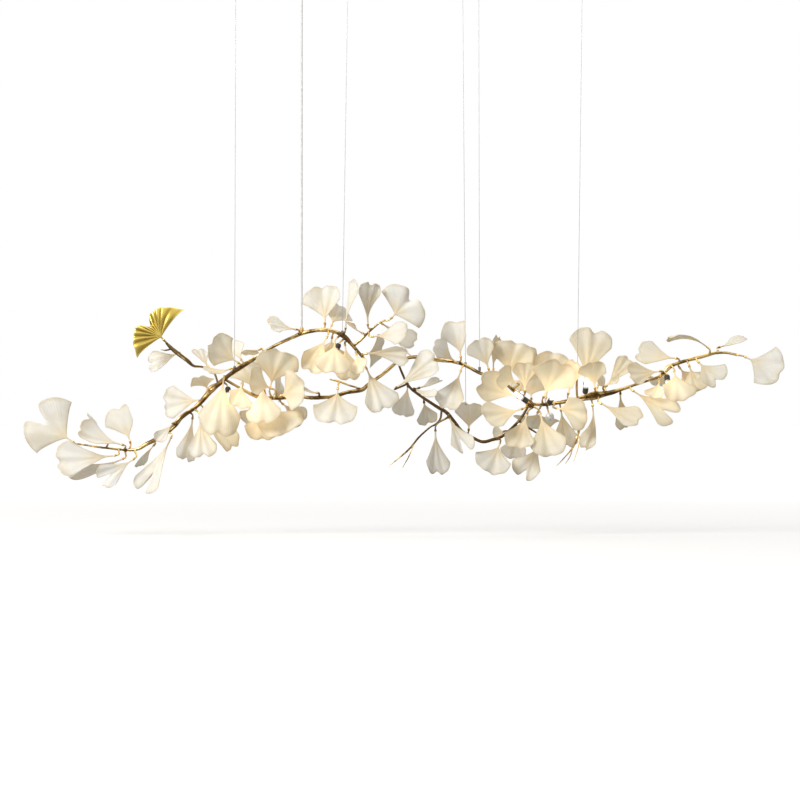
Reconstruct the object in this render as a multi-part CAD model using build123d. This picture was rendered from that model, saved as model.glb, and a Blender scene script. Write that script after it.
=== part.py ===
from build123d import *
import math
import os

# Placing of the spray under the ceiling, mm. The row frame starts at the power rose's top face.
SPRAY_X = 246.0
SPRAY_Y = -10.3
SPRAY_DROP = 1090.0

# Porcelain leaves
LEAF_THICKNESS = 1.9
LEAF_EDGE_SHARE = 0.65
LEAF_ROUNDING = 0.62
NOTCH_WIDTH = 0.16
STEM_WIDTH = 3.8
STEM_THICKNESS = 3.4
STEM_SHARE = 0.14
FLARE_EASE = 0.2

# Brass collars that hold the leaf stems
COLLAR_CLEARANCE = 0.8
COLLAR_WALL = 0.9
COLLAR_DEPTH = 5.0
COLLAR_FLOOR = 2.0
COLLAR_SEAT_GAP = 0.2
STALK_RADIUS = 2.0
SEAT_GAP = 0.04

# Pin lamps and their holders
BULB_RADIUS = 4.8
BULB_LENGTH = 27.0
BULB_BASE_RADIUS = 5.6
BULB_BASE_LENGTH = 5.0
PIN_RADIUS = 0.4
PIN_LENGTH = 8.0
PIN_SPACING = 4.0
PIN_CLEARANCE = 0.35
BULB_SEAT_GAP = 0.3
HOLDER_RADIUS = 7.0
HOLDER_LENGTH = 14.0

# Suspension
WIRE_RADIUS = 0.6
WIRE_CLEARANCE = 0.25
STUD_RADIUS = 3.4
STUD_HEIGHT = 9.0
STUD_BORE_DEPTH = 5.0
TAIL_LENGTH = 98.0
TAIL_BALL_RADIUS = 2.6
CORD_RADIUS = 2.2
CORD_CLEARANCE = 0.3
GLAND_RADIUS = 5.0
GLAND_HEIGHT = 16.0

# Ceiling fittings
CUP_RADIUS = 13.0
CUP_HEIGHT = 16.0
CUP_HOLE_RADIUS = 3.1
CUP_HOLE_DEPTH = 9.0
SPIGOT_RADIUS = 3.0
SPIGOT_LENGTH = 5.0
PLUG_FLANGE = 3.0
PLUG_LENGTH = 6.0
PLUG_BORE_DEPTH = 5.0
BARREL_RADIUS = 5.5
BARREL_LENGTH = 26.0
BARREL_BORE_RADIUS = 3.4
BARREL_FLOOR = 2.0
PLUNGER_CLEARANCE = 0.3
PLUNGER_RADIUS = 2.5
PLUNGER_BORE_RADIUS = 1.6
PLUNGER_LENGTH = 12.0
PLUNGER_COLLAR = 2.0
ROSE_RADIUS = 32.0
ROSE_FLANGE = 4.0
ROSE_HEIGHT = 24.0
ROSE_DOME_RADIUS = 15.0
ROSE_SCREW_SPACING = 46.0
ROSE_SCREW_RADIUS = 2.25
ROSE_POCKET_RADIUS = 11.0
ROSE_POCKET_DEPTH = 12.0
TERMINAL_SIZE = (14.0, 9.0, 9.0)
GRIP_RADIUS = 6.5
GRIP_LENGTH = 12.0
GRIP_CLEARANCE = 0.05
BEAD_RADIUS = 11.0
BEAD_HOLE = 4.0

# Branch centre lines in the spray's own frame: x, y, z and radius
MAIN = [
    (-805, 5, -110, 2.5), (-738, 2, -120, 3.0), (-665, -5, -125, 4.5), (-632, -8, -110, 6.0),
    (-598, -8, -92, 6.5), (-565, -6, -65, 6.0), (-545, -4, -42, 6.0), (-512, 0, -18, 6.0),
    (-488, 2, 8, 7.0), (-472, 4, 28, 10.5), (-452, 5, 42, 7.0), (-428, 8, 62, 6.0),
    (-390, 12, 88, 5.5), (-348, 15, 115, 5.5), (-310, 15, 138, 5.0), (-272, 12, 155, 5.0),
    (-242, 10, 168, 5.5), (-202, 6, 175, 5.0), (-168, 2, 172, 5.0), (-140, 0, 158, 7.0),
    (-118, 2, 135, 5.0), (-96, 5, 110, 4.5), (-84, 6, 98, 3.6),
]
CENTRE_TWIG = [(-118, 2, 135, 3.5), (-98, -4, 150, 3.5), (-76, -8, 172, 3.4), (-52, -10, 192, 3.0),
               (-36, -10, 200, 2.8)]
LOWER = [
    (-440, 7, 53, 4.0), (-400, 22, 30, 4.2), (-355, 28, 8, 5.0), (-305, 18, 5, 5.0),
    (-260, 6, 10, 5.0), (-228, 0, 6, 5.0), (-190, -4, 6, 5.0), (-160, -6, 10, 5.8),
    (-135, -6, 18, 5.0), (-95, -4, 26, 5.8), (-80, -2, 38, 5.0), (-38, 2, 68, 5.2),
    (-5, 8, 95, 4.5), (38, 20, 108, 4.5), (100, 20, 100, 4.5), (152, 8, 92, 5.0),
    (200, 6, 68, 5.2), (225, 8, 62, 4.5), (248, 10, 55, 4.2), (288, 15, 22, 4.8),
    (312, 16, 2, 6.0), (325, 16, -10, 10.0), (333, 16, -18, 6.0),
]
SIDE_TWIG = [(-92, -4, 27, 2.6), (-125, -14, 36, 2.6), (-148, -18, 45, 3.0), (-176, -20, 52, 2.2)]
CASCADE = [
    (-5, 8, 95, 3.0), (8, 10, 62, 3.5), (25, 4, 32, 4.0), (55, 0, 8, 5.0), (90, -4, -15, 5.0),
    (116, -6, -30, 5.2), (135, -5, -52, 4.5), (155, -2, -78, 4.2), (192, 2, -100, 4.6),
    (210, 3, -105, 5.2), (230, 4, -100, 5.0), (258, 8, -90, 4.2), (300, 14, -50, 4.0),
    (322, 16, -16, 3.6),
]
RIGHT = [
    (326, 16, -10, 4.5), (352, 19, -12, 5.0), (380, 20, -10, 5.2), (438, 15, 0, 6.0),
    (466, 11, 6, 9.0), (485, 8, 10, 11.0), (522, 4, 18, 7.0), (562, 2, 30, 5.0),
    (590, 2, 39, 4.5), (618, 2, 48, 4.0), (645, 2, 58, 4.5), (662, 2, 72, 5.5),
    (671, 2, 82, 7.0), (688, 2, 90, 4.6), (720, 4, 100, 4.5), (762, 6, 110, 4.5),
    (790, 8, 118, 5.0), (815, 6, 118, 4.0), (845, 3, 112, 3.6),
]
WIRE_POST = [(444, 14, 2, 3.0), (442, 6, 32, 3.0), (443, 2, 58, 3.0), (444, 0, 78, 2.8)]
GOLD_TWIG = [
    (-455, 5, 42, 3.0), (-466, -2, 70, 3.0), (-492, -5, 82, 3.0), (-516, -6, 85, 4.0),
    (-530, -6, 97, 6.0), (-550, -6, 112, 5.5), (-570, -6, 128, 5.0), (-584, -6, 143, 3.4),
]
GOLD_SPUR = [(-570, -6, 128, 2.6), (-585, -12, 124, 2.2), (-598, -16, 126, 1.4)]
BARE_LEFT = [
    (104, -5, -24, 3.2), (101, -14, -46, 3.6), (90, -20, -60, 3.6), (75, -24, -68, 3.0),
    (48, -28, -92, 3.2), (20, -32, -125, 2.6), (-28, -36, -165, 1.4),
]
BARE_LEFT_SPUR = [(34, -30, -108, 2.0), (31, -42, -117, 1.9), (21, -48, -142, 1.7), (4, -50, -172, 1.1)]
BARE_RIGHT = [
    (448, 14, 2, 3.4), (456, 4, -30, 3.6), (452, -2, -60, 3.6), (442, -8, -92, 3.2),
    (432, -10, -118, 2.6), (412, -14, -142, 2.0), (390, -18, -165, 1.2),
]
BARE_RIGHT_SPURS = [
    [(434, -10, -114, 2.0), (430, -22, -122, 1.9), (424, -28, -140, 1.7), (411, -32, -160, 1.1)],
    [(444, -7, -86, 2.0), (447, -19, -94, 1.9), (444, -28, -118, 1.7), (432, -36, -154, 1.1)],
]

# Leaves: stem end, middle of the outer edge, side that the hollow faces, width over the fan,
# then bend along the leaf, cupping across it, twist (degrees) and depth of the notch
LEAVES = {
    "left_tip_leaves": [
        ((-815, -8, -106), (-918, -30, -30), (0.2, -1, 0.1), 174, 20, 25, 0, 0.42),
        ((-690, -24, -112), (-800, -58, -72), (0.1, -0.8, 0.5), 84, 25, 50, 0, 0.05),
        ((-675, 8, -106), (-708, 8, -16), (-0.3, -1, 0.2), 104, 15, 45, 20, 0.09),
        ((-708, -30, -138), (-852, -68, -148), (0, -1, 0.3), 96, 20, 45, 0, 0.07),
        ((-690, -2, -146), (-830, -22, -188), (0, -0.8, 0.6), 60, 25, 50, 0, 0.07),
        ((-662, -28, -146), (-750, -50, -204), (0, -1, 0), 74, 15, 25, 0, 0.4),
        ((-735, 22, -98), (-785, 45, -32), (0.75, 0, 0.65), 64, 20, 30, 0, 0.07),
    ],
    "left_lower_leaves": [
        ((-570, -20, -92), (-645, -45, -230), (-0.5, -0.85, 0), 80, 15, 40, 0, 0.45),
        ((-615, 16, -112), (-660, 55, -170), (0.6, -0.5, 0.5), 50, 20, 30, 0, 0.07),
        ((-500, -18, -40), (-488, -52, -142), (0, -1, 0.1), 76, 15, 30, 0, 0.1),
        ((-520, 22, -44), (-542, 62, -155), (-0.3, -1, 0), 64, 15, 25, 0, 0.09),
        ((-565, -28, -58), (-606, -66, -102), (0.3, -0.8, 0.5), 44, 25, 45, 0, 0.05),
        ((-500, 24, 0), (-600, 88, -8), (0, -1, 0.1), 92, 15, 25, 0, 0.09),
        ((-492, 24, -22), (-416, 20, -124), (0, -0.7, 0.8), 84, 25, 50, 0, 0.07),
    ],
    "left_upper_leaves": [
        ((-402, -10, 92), (-474, -48, 146), (0.3, -0.9, 0.3), 106, 20, 35, 10, 0.09),
        ((-398, 34, 100), (-424, 92, 148), (0, -0.8, 0.6), 56, 20, 35, 0, 0.07),
        ((-421, -20, 78), (-480, -84, 70), (0, -0.6, 0.8), 58, 20, 40, 0, 0.07),
        ((-478, -22, 26), (-500, -84, 60), (-0.2, -1, 0), 76, 20, 30, 0, 0.07),
        ((-480, 16, 84), (-510, 58, 130), (0.4, -0.6, 0.6), 50, 20, 35, 0, 0.07),
        ((-350, 34, 128), (-390, 66, 118), (0, 0.2, 1), 58, 20, 35, 0, 0.07),
        ((-555, 22, 118), (-635, 82, 90), (0, -1, 0.2), 64, 15, 30, 0, 0.09),
    ],
    "left_lamp_leaves": [
        ((-439, -36, 54), (-452, -80, -90), (0, 0.8, 0.6), 132, 25, 40, 0, 0.05),
        ((-318, -28, 28), (-372, -84, 54), (0, -0.9, 0.3), 80, 20, 45, 0, 0.05),
        ((-394, -10, 42), (-402, -70, -14), (0.3, -0.9, 0.2), 78, 20, 40, 0, 0.05),
        ((-342, -16, 36), (-338, -76, -60), (0, 0.8, 0.6), 100, 25, 40, 0, 0.05),
        ((-325, 0, 30), (-298, -38, 124), (0, -0.9, -0.3), 120, 25, 35, 0, 0.07),
        ((-300, -12, 10), (-246, -64, 32), (0, -1, 0.2), 116, 25, 40, 0, 0.07),
        ((-325, 4, -14), (-284, -56, -82), (0, -0.8, 0.5), 136, 25, 40, 0, 0.07),
        ((-352, 14, -14), (-342, -14, -98), (0, -0.6, 0.8), 96, 25, 45, 0, 0.07),
        ((-296, 32, -8), (-240, 62, -54), (0, -1, 0.3), 66, 15, 30, 0, 0.07),
        ((-368, 40, 26), (-394, 84, 98), (0, -0.8, 0.6), 96, 20, 35, 0, 0.07),
        ((-322, 44, 8), (-300, 130, 52), (0, 0.9, 0.4), 110, 25, 40, 0, 0.07),
        ((-352, 52, -4), (-366, 128, -62), (0, 0.9, 0.4), 104, 25, 40, 0, 0.07),
    ],
    "arch_leaves": [
        ((-258, -10, 176), (-326, -46, 196), (0, -0.6, 0.8), 68, 20, 40, 0, 0.07),
        ((-188, 22, 190), (-196, 44, 290), (-0.2, -1, 0.1), 114, 20, 30, 0, 0.1),
        ((-136, -12, 178), (-114, 0, 300), (0.95, 0.25, -0.2), 92, 15, 35, 0, 0.07),
        ((-80, -26, 186), (-72, -52, 294), (0.8, -0.6, 0), 70, 20, 35, 30, 0.07),
        ((-92, -22, 166), (-134, -72, 196), (0, -0.5, 0.9), 44, 20, 40, 0, 0.05),
        ((-205, -18, 18), (-238, -56, 26), (0, -0.6, 0.8), 28, 20, 40, 0, 0.03),
        ((-172, 22, 186), (-154, 92, 244), (0, 0.9, 0.3), 104, 25, 35, 0, 0.09),
    ],
    "middle_lamp_leaves": [
        ((-162, -38, 142), (-168, -70, 64), (0, 0.7, 0.5), 106, 25, 45, 0, 0.05),
        ((-110, -14, 116), (-98, -42, 68), (-0.5, -0.3, 0.5), 66, 20, 40, 0, 0.05),
        ((-182, -8, 158), (-232, -24, 70), (0.2, -1, 0.2), 90, 20, 35, 0, 0.07),
        ((-138, 18, 140), (-126, 14, 48), (0, -1, 0.3), 76, 20, 40, 0, 0.07),
        ((-170, 20, 158), (-182, 82, 96), (0, 0.8, 0.5), 98, 25, 40, 0, 0.07),
    ],
    "centre_leaves": [
        ((-22, -16, 204), (34, -40, 262), (0, -1, 0.1), 144, 20, 25, 0, 0.4),
        ((-46, 10, 192), (40, 26, 142), (0.6, -0.7, 0), 62, 20, 35, 0, 0.07),
        ((-70, -28, 158), (16, -66, 172), (0, -0.8, 0.6), 74, 20, 40, 0, 0.07),
        ((-86, -20, 116), (22, -62, 110), (0, -0.8, -0.4), 68, 20, 40, 0, 0.07),
        ((-10, -24, 30), (88, -68, 104), (0, -1, 0.2), 80, 15, 35, 15, 0.07),
        ((152, -12, 106), (138, -22, 198), (-0.3, -1, 0.2), 94, 15, 100, 0, 0.07),
        ((140, -14, 94), (88, -52, 140), (0, -0.8, 0.5), 60, 20, 50, 0, 0.07),
        ((128, 36, 100), (88, 74, 102), (0, -0.5, 0.85), 48, 20, 30, 0, 0.07),
        ((152, -14, 74), (114, -52, -26), (-0.2, -1, 0), 92, 20, 35, 0, 0.09),
        ((-84, -4, 80), (-38, -52, -24), (0.1, -1, 0.1), 92, 15, 30, 0, 0.1),
        ((-155, -28, 30), (-162, -58, -62), (0, -1, 0), 124, 15, 25, 0, 0.1),
        ((-86, 30, 116), (-40, 96, 132), (0, 0.9, 0.4), 108, 25, 35, 0, 0.09),
        ((30, 40, 110), (10, 120, 140), (0, 0.8, 0.5), 102, 25, 35, 0, 0.09),
    ],
    "cascade_leaves": [
        ((38, -18, 28), (86, -66, 8), (0, -0.7, 0.7), 50, 20, 45, 0, 0.05),
        ((46, 16, 30), (102, 44, 54), (0, -0.4, 0.9), 48, 20, 35, 0, 0.07),
        ((122, -22, -42), (168, -56, -130), (0.4, -0.9, 0), 76, 15, 35, 0, 0.5),
        ((88, -36, -74), (96, -62, -184), (0.5, -0.85, 0), 76, 15, 40, 0, 0.07),
        ((60, 20, -4), (72, 62, -62), (0.2, -1, 0), 64, 20, 30, 0, 0.07),
        ((20, 24, 36), (6, 66, -44), (0, -1, 0), 60, 20, 30, 0, 0.07),
        ((172, 14, -76), (176, 52, -4), (0, -1, 0.2), 86, 20, 30, 0, 0.09),
    ],
    "flower_upper_leaves": [
        ((222, -8, 76), (194, -28, 152), (-0.2, -1, 0.2), 80, 20, 40, 0, 0.1),
        ((234, 20, 76), (244, 34, 164), (0.95, -0.3, 0), 102, 15, 35, 0, 0.07),
        ((270, 6, 56), (290, -18, 144), (0, -1, 0.2), 116, 20, 35, 0, 0.07),
        ((300, 34, 24), (352, 84, 124), (0.3, -1, 0), 104, 20, 30, 0, 0.07),
        ((312, -8, 20), (310, -44, 96), (0, -1, -0.2), 68, 25, 40, 0, 0.05),
        ((294, -8, 42), (244, -48, 64), (0, -1, 0.1), 70, 20, 40, 0, 0.05),
        ((296, -6, 6), (194, -30, 46), (0.2, -1, 0), 96, 20, 40, 0, 0.07),
        ((358, -2, 6), (402, -50, 94), (0, -0.9, -0.4), 128, 20, 40, 0, 0.07),
        ((366, 38, 4), (390, 62, 124), (0, -1, 0), 104, 20, 30, 0, 0.07),
        ((420, -4, 14), (436, -30, 100), (-0.4, -0.9, 0), 64, 20, 35, 0, 0.05),
        ((330, 36, 2), (330, 122, 62), (0, 0.9, 0.3), 128, 25, 40, 0, 0.07),
    ],
    "flower_lower_leaves": [
        ((306, -6, -22), (208, -70, -40), (0, -0.8, 0.6), 90, 20, 40, 0, 0.07),
        ((318, -8, -34), (286, -62, -122), (-0.1, -1, 0.2), 90, 20, 35, 0, 0.07),
        ((350, -2, -32), (376, -68, -138), (0, -1, 0.2), 106, 20, 35, 0, 0.07),
        ((388, -6, -20), (464, -60, -38), (0.2, -0.8, -0.4), 112, 20, 40, 0, 0.07),
        ((262, 28, -78), (234, 46, -90), (0, -1, 0.3), 48, 20, 30, 0, 0.05),
        ((250, -14, -106), (220, -52, -180), (0, -1, 0.1), 104, 15, 30, 0, 0.05),
        ((294, 28, -72), (286, 36, -150), (0, -1, 0.2), 72, 20, 35, 0, 0.07),
        ((352, 12, -110), (304, -12, -194), (0, -1, 0.3), 84, 15, 30, 0, 0.25),
        ((404, 36, -24), (422, 68, -122), (0, -1, 0.1), 76, 20, 40, 0, 0.07),
        ((346, 38, -30), (340, 126, -62), (0, 0.9, 0.4), 128, 25, 40, 0, 0.07),
    ],
    "lily_leaves": [
        ((462, 24, 40), (490, 50, 182), (0, -1, 0.1), 112, 20, 30, 0, 0.1),
        ((486, -22, 28), (476, -80, 96), (0, -0.8, -0.4), 84, 20, 40, 0, 0.05),
        ((510, -16, 34), (542, -48, 60), (0, -0.8, 0.5), 32, 20, 35, 0, 0.03),
        ((516, 18, 34), (576, 28, 106), (0, -1, 0.3), 58, 20, 45, 0, 0.07),
        ((494, 26, 30), (510, 108, 70), (0, 0.9, 0.3), 98, 25, 35, 0, 0.07),
    ],
    "right_lower_leaves": [
        ((580, -14, 24), (686, -52, -42), (0, -1, 0.2), 76, 15, 35, 0, 0.35),
        ((552, 16, 18), (566, 46, -74), (0.7, -0.7, 0), 70, 20, 35, 0, 0.07),
        ((500, -20, -8), (598, -62, -52), (0, -0.8, 0.6), 76, 20, 40, 0, 0.07),
        ((482, 14, -12), (460, 22, -126), (-0.9, -0.2, 0.3), 84, 45, 30, 20, 0.07),
    ],
    "right_lamp_leaves": [
        ((684, -14, 74), (694, -64, 2), (0, -0.6, 0.8), 96, 20, 40, 0, 0.05),
        ((722, -8, 86), (744, -30, 22), (0, -0.9, 0.4), 70, 20, 40, 0, 0.05),
        ((648, -8, 46), (630, -48, 4), (0, -0.6, 0.8), 60, 20, 40, 0, 0.05),
        ((700, 18, 82), (750, 22, 20), (0, -1, 0.2), 88, 20, 35, 0, 0.07),
        ((694, 14, 104), (594, 44, 122), (0, -0.9, 0.4), 78, 20, 35, 0, 0.07),
        ((650, -14, 72), (568, -54, 64), (0, -0.9, 0.3), 68, 20, 35, 0, 0.07),
        ((664, 22, 66), (652, 100, 36), (0, 0.9, 0.4), 106, 25, 40, 0, 0.07),
    ],
    "right_tip_leaves": [
        ((744, -10, 96), (794, -54, 44), (0, -0.9, 0.4), 92, 20, 40, 0, 0.2),
        ((770, -6, 130), (664, -28, 150), (0, -0.2, -1), 66, 70, 30, 0, 0.07),
        ((798, 14, 132), (866, 34, 160), (0, -0.3, 1), 64, 20, 35, 0, 0.07),
        ((862, -2, 108), (946, -58, 66), (0.2, -1, 0), 122, 20, 40, 0, 0.04),
    ],
}
GOLD_LEAF = ((-589, -8, 149), (-640, -26, 202), (0, -1, 0.2), 146, -10, 40, 0, 0.35)

# Lamps: back of the holder and the way the lamp points
LAMPS = [
    ((-430, -16, 32), (0.15, -0.35, -0.92)),
    ((-346, 2, -2), (-0.05, -0.4, -0.92)),
    ((-152, -12, 140), (-0.4, -0.35, -0.85)),
    ((318, -18, -4), (-0.8, -0.25, 0.54)),
    ((372, -10, -8), (0.35, -0.7, 0.62)),
    ((462, -12, 16), (0.1, -0.3, 0.95)),
    ((666, -16, 62), (0.05, -0.4, -0.9)),
]

# Wires: the branch end of each wire and the shift of its ceiling end along the spray
WIRES = [
    ((-414, 9.5, 71), 3),
    ((-144, 0, 160), 14),
    ((164, 15.5, 88), -7),
    ((199, 6, 69), -2),
    ((444, 0, 78), 12),
]
GRIP_WIRE = 2
CORD_FOOT = (-246, 10.3, 166)
BEAD_PLACE = (372, -48, -42)


def at(point):
    """A point of the spray in the row frame."""
    return Vector(point[0] + SPRAY_X, point[1] + SPRAY_Y, point[2] - SPRAY_DROP)


def leaf_frame(leaf):
    """Base, chord length, and the unit vectors along, across and out of a leaf."""
    base = at(leaf[0])
    chord = at(leaf[1]) - base
    along = chord.normalized()
    face = Vector(*leaf[2])
    out = (face - along * face.dot(along)).normalized()
    return base, chord.length, along, along.cross(out), out


def midline(bend, count=40):
    """Points and headings of a unit leaf's middle line, from (0, 0) to (1, 0)."""
    places = [(0.0, 0.0)]
    for i in range(count):
        angle = bend * ((i + 0.5) / count) ** 1.5
        x, y = places[-1]
        places.append((x + math.cos(angle) / count, y + math.sin(angle) / count))
    tilt = math.atan2(places[-1][1], places[-1][0])
    size = math.hypot(*places[-1])
    points = []
    for i, (x, y) in enumerate(places):
        u = (x * math.cos(tilt) + y * math.sin(tilt)) / size
        v = (y * math.cos(tilt) - x * math.sin(tilt)) / size
        points.append((u, v, bend * (i / count) ** 1.5 - tilt))
    return points


def stem_direction(leaf):
    """The way the stem leaves its collar."""
    base, length, along, across, out = leaf_frame(leaf)
    heading = midline(math.radians(leaf[4]))[0][2]
    return (along * math.cos(heading) + out * math.sin(heading)).normalized()


def leaf_lag(leaf, t, grow, length):
    """How far a point at t across the leaf falls back from the fan's straight edge."""
    rounding = LEAF_ROUNDING * leaf[3] / 2 * grow * (0.6 * t * t + 0.5 * t ** 6)
    return rounding + leaf[7] * length * math.exp(-((t / NOTCH_WIDTH) ** 2)) * grow ** 3


def leaf_solid(leaf):
    """A fan-shaped porcelain leaf: two curved skins closed by four ruled edges."""
    base, length, along, across, out = leaf_frame(leaf)
    width, bend, cup, twist = leaf[3:7]
    line = midline(math.radians(bend))
    rows = (0, 3, 6, 9, 13, 19, 25, 31, 36, 40)
    columns = (-1, -0.75, -0.5, -0.28, -0.12, 0, 0.12, 0.28, 0.5, 0.75, 1)
    skins = ([], [])
    for row in rows:
        s = row / 40
        u, v, heading = line[row]
        grow = max(0.0, (s - STEM_SHARE) / (1 - STEM_SHARE))
        flare = (1 + FLARE_EASE) * grow * grow / (grow + FLARE_EASE)
        half = STEM_WIDTH / 2 + (width - STEM_WIDTH) / 2 * flare
        roll = math.radians(cup) * max(grow, 1e-4)
        turn = math.radians(twist) * grow
        thick = LEAF_THICKNESS + (STEM_THICKNESS - LEAF_THICKNESS) * (1 - grow) ** 4
        forward = along * math.cos(heading) + out * math.sin(heading)
        up = out * math.cos(heading) - along * math.sin(heading)
        edges = ([], [])
        for t in columns:
            lag = leaf_lag(leaf, t, grow, length)
            x = half * math.sin(roll * t) / roll
            y = half * (1 - math.cos(roll * t)) / roll
            side = across * math.cos(turn) + up * math.sin(turn)
            rise = up * math.cos(turn) - across * math.sin(turn)
            place = base + along * (u * length) + out * (v * length) - forward * lag
            place = place + side * x + rise * y
            normal = rise * math.cos(roll * t) - side * math.sin(roll * t)
            reach = thick / 2 * (1 - (1 - LEAF_EDGE_SHARE) * t * t)
            edges[0].append(place + normal * reach)
            edges[1].append(place - normal * reach)
        skins[0].append(edges[0])
        skins[1].append(edges[1])
    knots = [(t + 1) / 2 for t in columns]
    front, back = [
        Shell.make_loft([Wire([Edge.make_spline(row, parameters=knots)]) for row in skin]).faces()[0]
        for skin in skins
    ]
    sides = []
    for edge in front.edges():
        other = min(back.edges(), key=lambda e: ((e @ 0.5) - (edge @ 0.5)).length)
        sides.append(Face.make_surface_from_curves(edge, other))
    return Solid(Shell([front, back, *sides]))


def stem_reach():
    """Furthest a stem's section reaches from its axis."""
    corner = math.hypot(STEM_WIDTH / 2, STEM_THICKNESS * LEAF_EDGE_SHARE / 2)
    return max(corner, STEM_THICKNESS / 2)


def turned(profile, origin, direction):
    """A turned piece: (radius, height) points spun round an axis."""
    outline = Polyline(*[(r, 0, z) for r, z in profile], close=True)
    piece = revolve(make_face(outline), Axis.Z)
    return Plane(origin=origin, z_dir=direction) * piece


def collar_solid(leaf):
    bore = stem_reach() + COLLAR_CLEARANCE
    outer = bore + COLLAR_WALL
    profile = [(0, -COLLAR_FLOOR), (outer * 0.8, -COLLAR_FLOOR), (outer, -COLLAR_FLOOR * 0.4),
               (outer, COLLAR_DEPTH), (bore, COLLAR_DEPTH), (bore, -COLLAR_SEAT_GAP), (0, -COLLAR_SEAT_GAP)]
    return turned(profile, at(leaf[0]), stem_direction(leaf))


def smooth(places, radii):
    """Extra centre points and radii between the given ones, on a flowing curve."""
    out = []
    for i in range(len(places) - 1):
        a = places[max(i - 1, 0)]
        b, c = places[i], places[i + 1]
        d = places[min(i + 2, len(places) - 1)]
        out.append((b, radii[i]))
        middle = (b + c) * 0.5625 - (a + d) * 0.0625
        out.append((middle, (radii[i] + radii[i + 1]) / 2))
    return out + [(places[-1], radii[-1])]


def outside(solid, inner, toward):
    """Where a line from inside a solid leaves it, and the way its surface faces there."""
    way = (toward - inner).normalized()
    hits = solid.find_intersection_points(Axis(inner, way))
    ahead = [hit for hit in hits if (hit[0] - inner).dot(way) > 0.01]
    spot, normal = min(ahead, key=lambda hit: (hit[0] - inner).length)
    return spot, normal if normal.dot(way) > 0 else normal * -1


def tube(points, parent=None, goal=None):
    """A tapering twig through centre points with radii, seated on a parent at its first point
    and on a goal at its last one."""
    places = [at(p) for p in points]
    radii = [p[3] for p in points]
    first = last = None
    if parent:
        spot, first = outside(parent, places[0], places[1])
        places = [spot + first * SEAT_GAP, spot + first * radii[0], *places[1:]]
        radii = [radii[0], *radii]
    if goal:
        spot, normal = outside(goal, places[-1], places[-2])
        last = normal * -1
        places = [*places[:-1], spot + normal * radii[-1], spot + normal * SEAT_GAP]
        radii = [*radii, radii[-1]]
    line = smooth(places, radii)
    reference = Vector(0, 1, 0)
    sections = []
    for i, (place, radius) in enumerate(line):
        way = line[min(i + 1, len(line) - 1)][0] - line[max(i - 1, 0)][0]
        if i == 0 and first:
            way = first
        if i == len(line) - 1 and last:
            way = last
        way = way.normalized()
        reference = reference - way * reference.dot(way)
        if reference.length < 0.1:
            reference = Vector(1, 0, 0) - way * way.X
        reference = reference.normalized()
        sections.append(Plane(origin=place, z_dir=way, x_dir=reference) * Circle(radius))
    return loft(sections, ruled=True)


def nearest(points, place):
    """Nearest point to a place on a twig's centre line."""
    best = None
    for a, b in zip(points, points[1:]):
        start = at(a)
        run = at(b) - start
        share = min(0.95, max(0.05, (place - start).dot(run) / run.dot(run)))
        spot = start + run * share
        if best is None or (place - spot).length < (place - best).length:
            best = spot
    return best


def stalk(limb, root, end, direction):
    """A round stalk that stands on a twig and meets a collar or holder square."""
    spot, normal = outside(limb, root, end)
    foot = spot + normal * SEAT_GAP
    gap = (end - foot).length
    path = Bezier(foot, foot + normal * (gap * 0.35), end - direction * (gap * 0.35), end)
    section = Plane(origin=foot, z_dir=normal) * Circle(STALK_RADIUS)
    return sweep(section, path=path)


def post(point, direction, profile):
    """A turned piece placed in the spray."""
    return turned(profile, at(point), Vector(*direction).normalized())


def holder_solid(lamp):
    """A dark lamp holder with two pin holes in its face."""
    back, direction = lamp
    profile = [(0, 0), (HOLDER_RADIUS * 0.7, 0), (HOLDER_RADIUS, HOLDER_LENGTH * 0.25),
               (HOLDER_RADIUS, HOLDER_LENGTH), (0, HOLDER_LENGTH)]
    piece = revolve(make_face(Polyline(*[(r, 0, z) for r, z in profile], close=True)), Axis.Z)
    depth = PIN_LENGTH + 2 * PIN_CLEARANCE
    for side in (-0.5, 0.5):
        hole = Cylinder(PIN_RADIUS + PIN_CLEARANCE, 2 * depth)
        piece -= Pos(side * PIN_SPACING, 0, HOLDER_LENGTH) * hole
    return lamp_plane(lamp) * piece


def lamp_plane(lamp):
    return Plane(origin=at(lamp[0]), z_dir=Vector(*lamp[1]).normalized())


def lamp_solids(lamp):
    """A pin lamp: ceramic foot with its pins, and the glass capsule on it."""
    seat = HOLDER_LENGTH + BULB_SEAT_GAP
    top = seat + BULB_BASE_LENGTH
    foot = Pos(0, 0, seat) * Cylinder(BULB_BASE_RADIUS, BULB_BASE_LENGTH,
                                      align=(Align.CENTER, Align.CENTER, Align.MIN))
    for side in (-0.5, 0.5):
        pin = Cylinder(PIN_RADIUS, PIN_LENGTH + 1, align=(Align.CENTER, Align.CENTER, Align.MAX))
        foot += Pos(side * PIN_SPACING, 0, seat + 1) * pin
    straight = BULB_LENGTH - BULB_BASE_LENGTH - BULB_RADIUS
    glass = Pos(0, 0, top) * Cylinder(BULB_RADIUS, straight, align=(Align.CENTER, Align.CENTER, Align.MIN))
    glass += Pos(0, 0, top + straight) * Sphere(BULB_RADIUS)
    return [lamp_plane(lamp) * foot, lamp_plane(lamp) * glass]


def bead_way():
    """The twig that carries the bead, its root there and the way to the bead."""
    name, root = carrier(at(BEAD_PLACE))
    return name, root, (at(BEAD_PLACE) - root).normalized()


def bead_solid():
    """A bead with a blind hole for its stalk."""
    plane = Plane(origin=at(BEAD_PLACE), z_dir=bead_way()[2] * -1)
    hole = Cylinder(STALK_RADIUS + COLLAR_CLEARANCE, BEAD_RADIUS, align=(Align.CENTER, Align.CENTER, Align.MIN))
    return plane * (Sphere(BEAD_RADIUS) - Pos(0, 0, BEAD_RADIUS - BEAD_HOLE) * hole)


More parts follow.
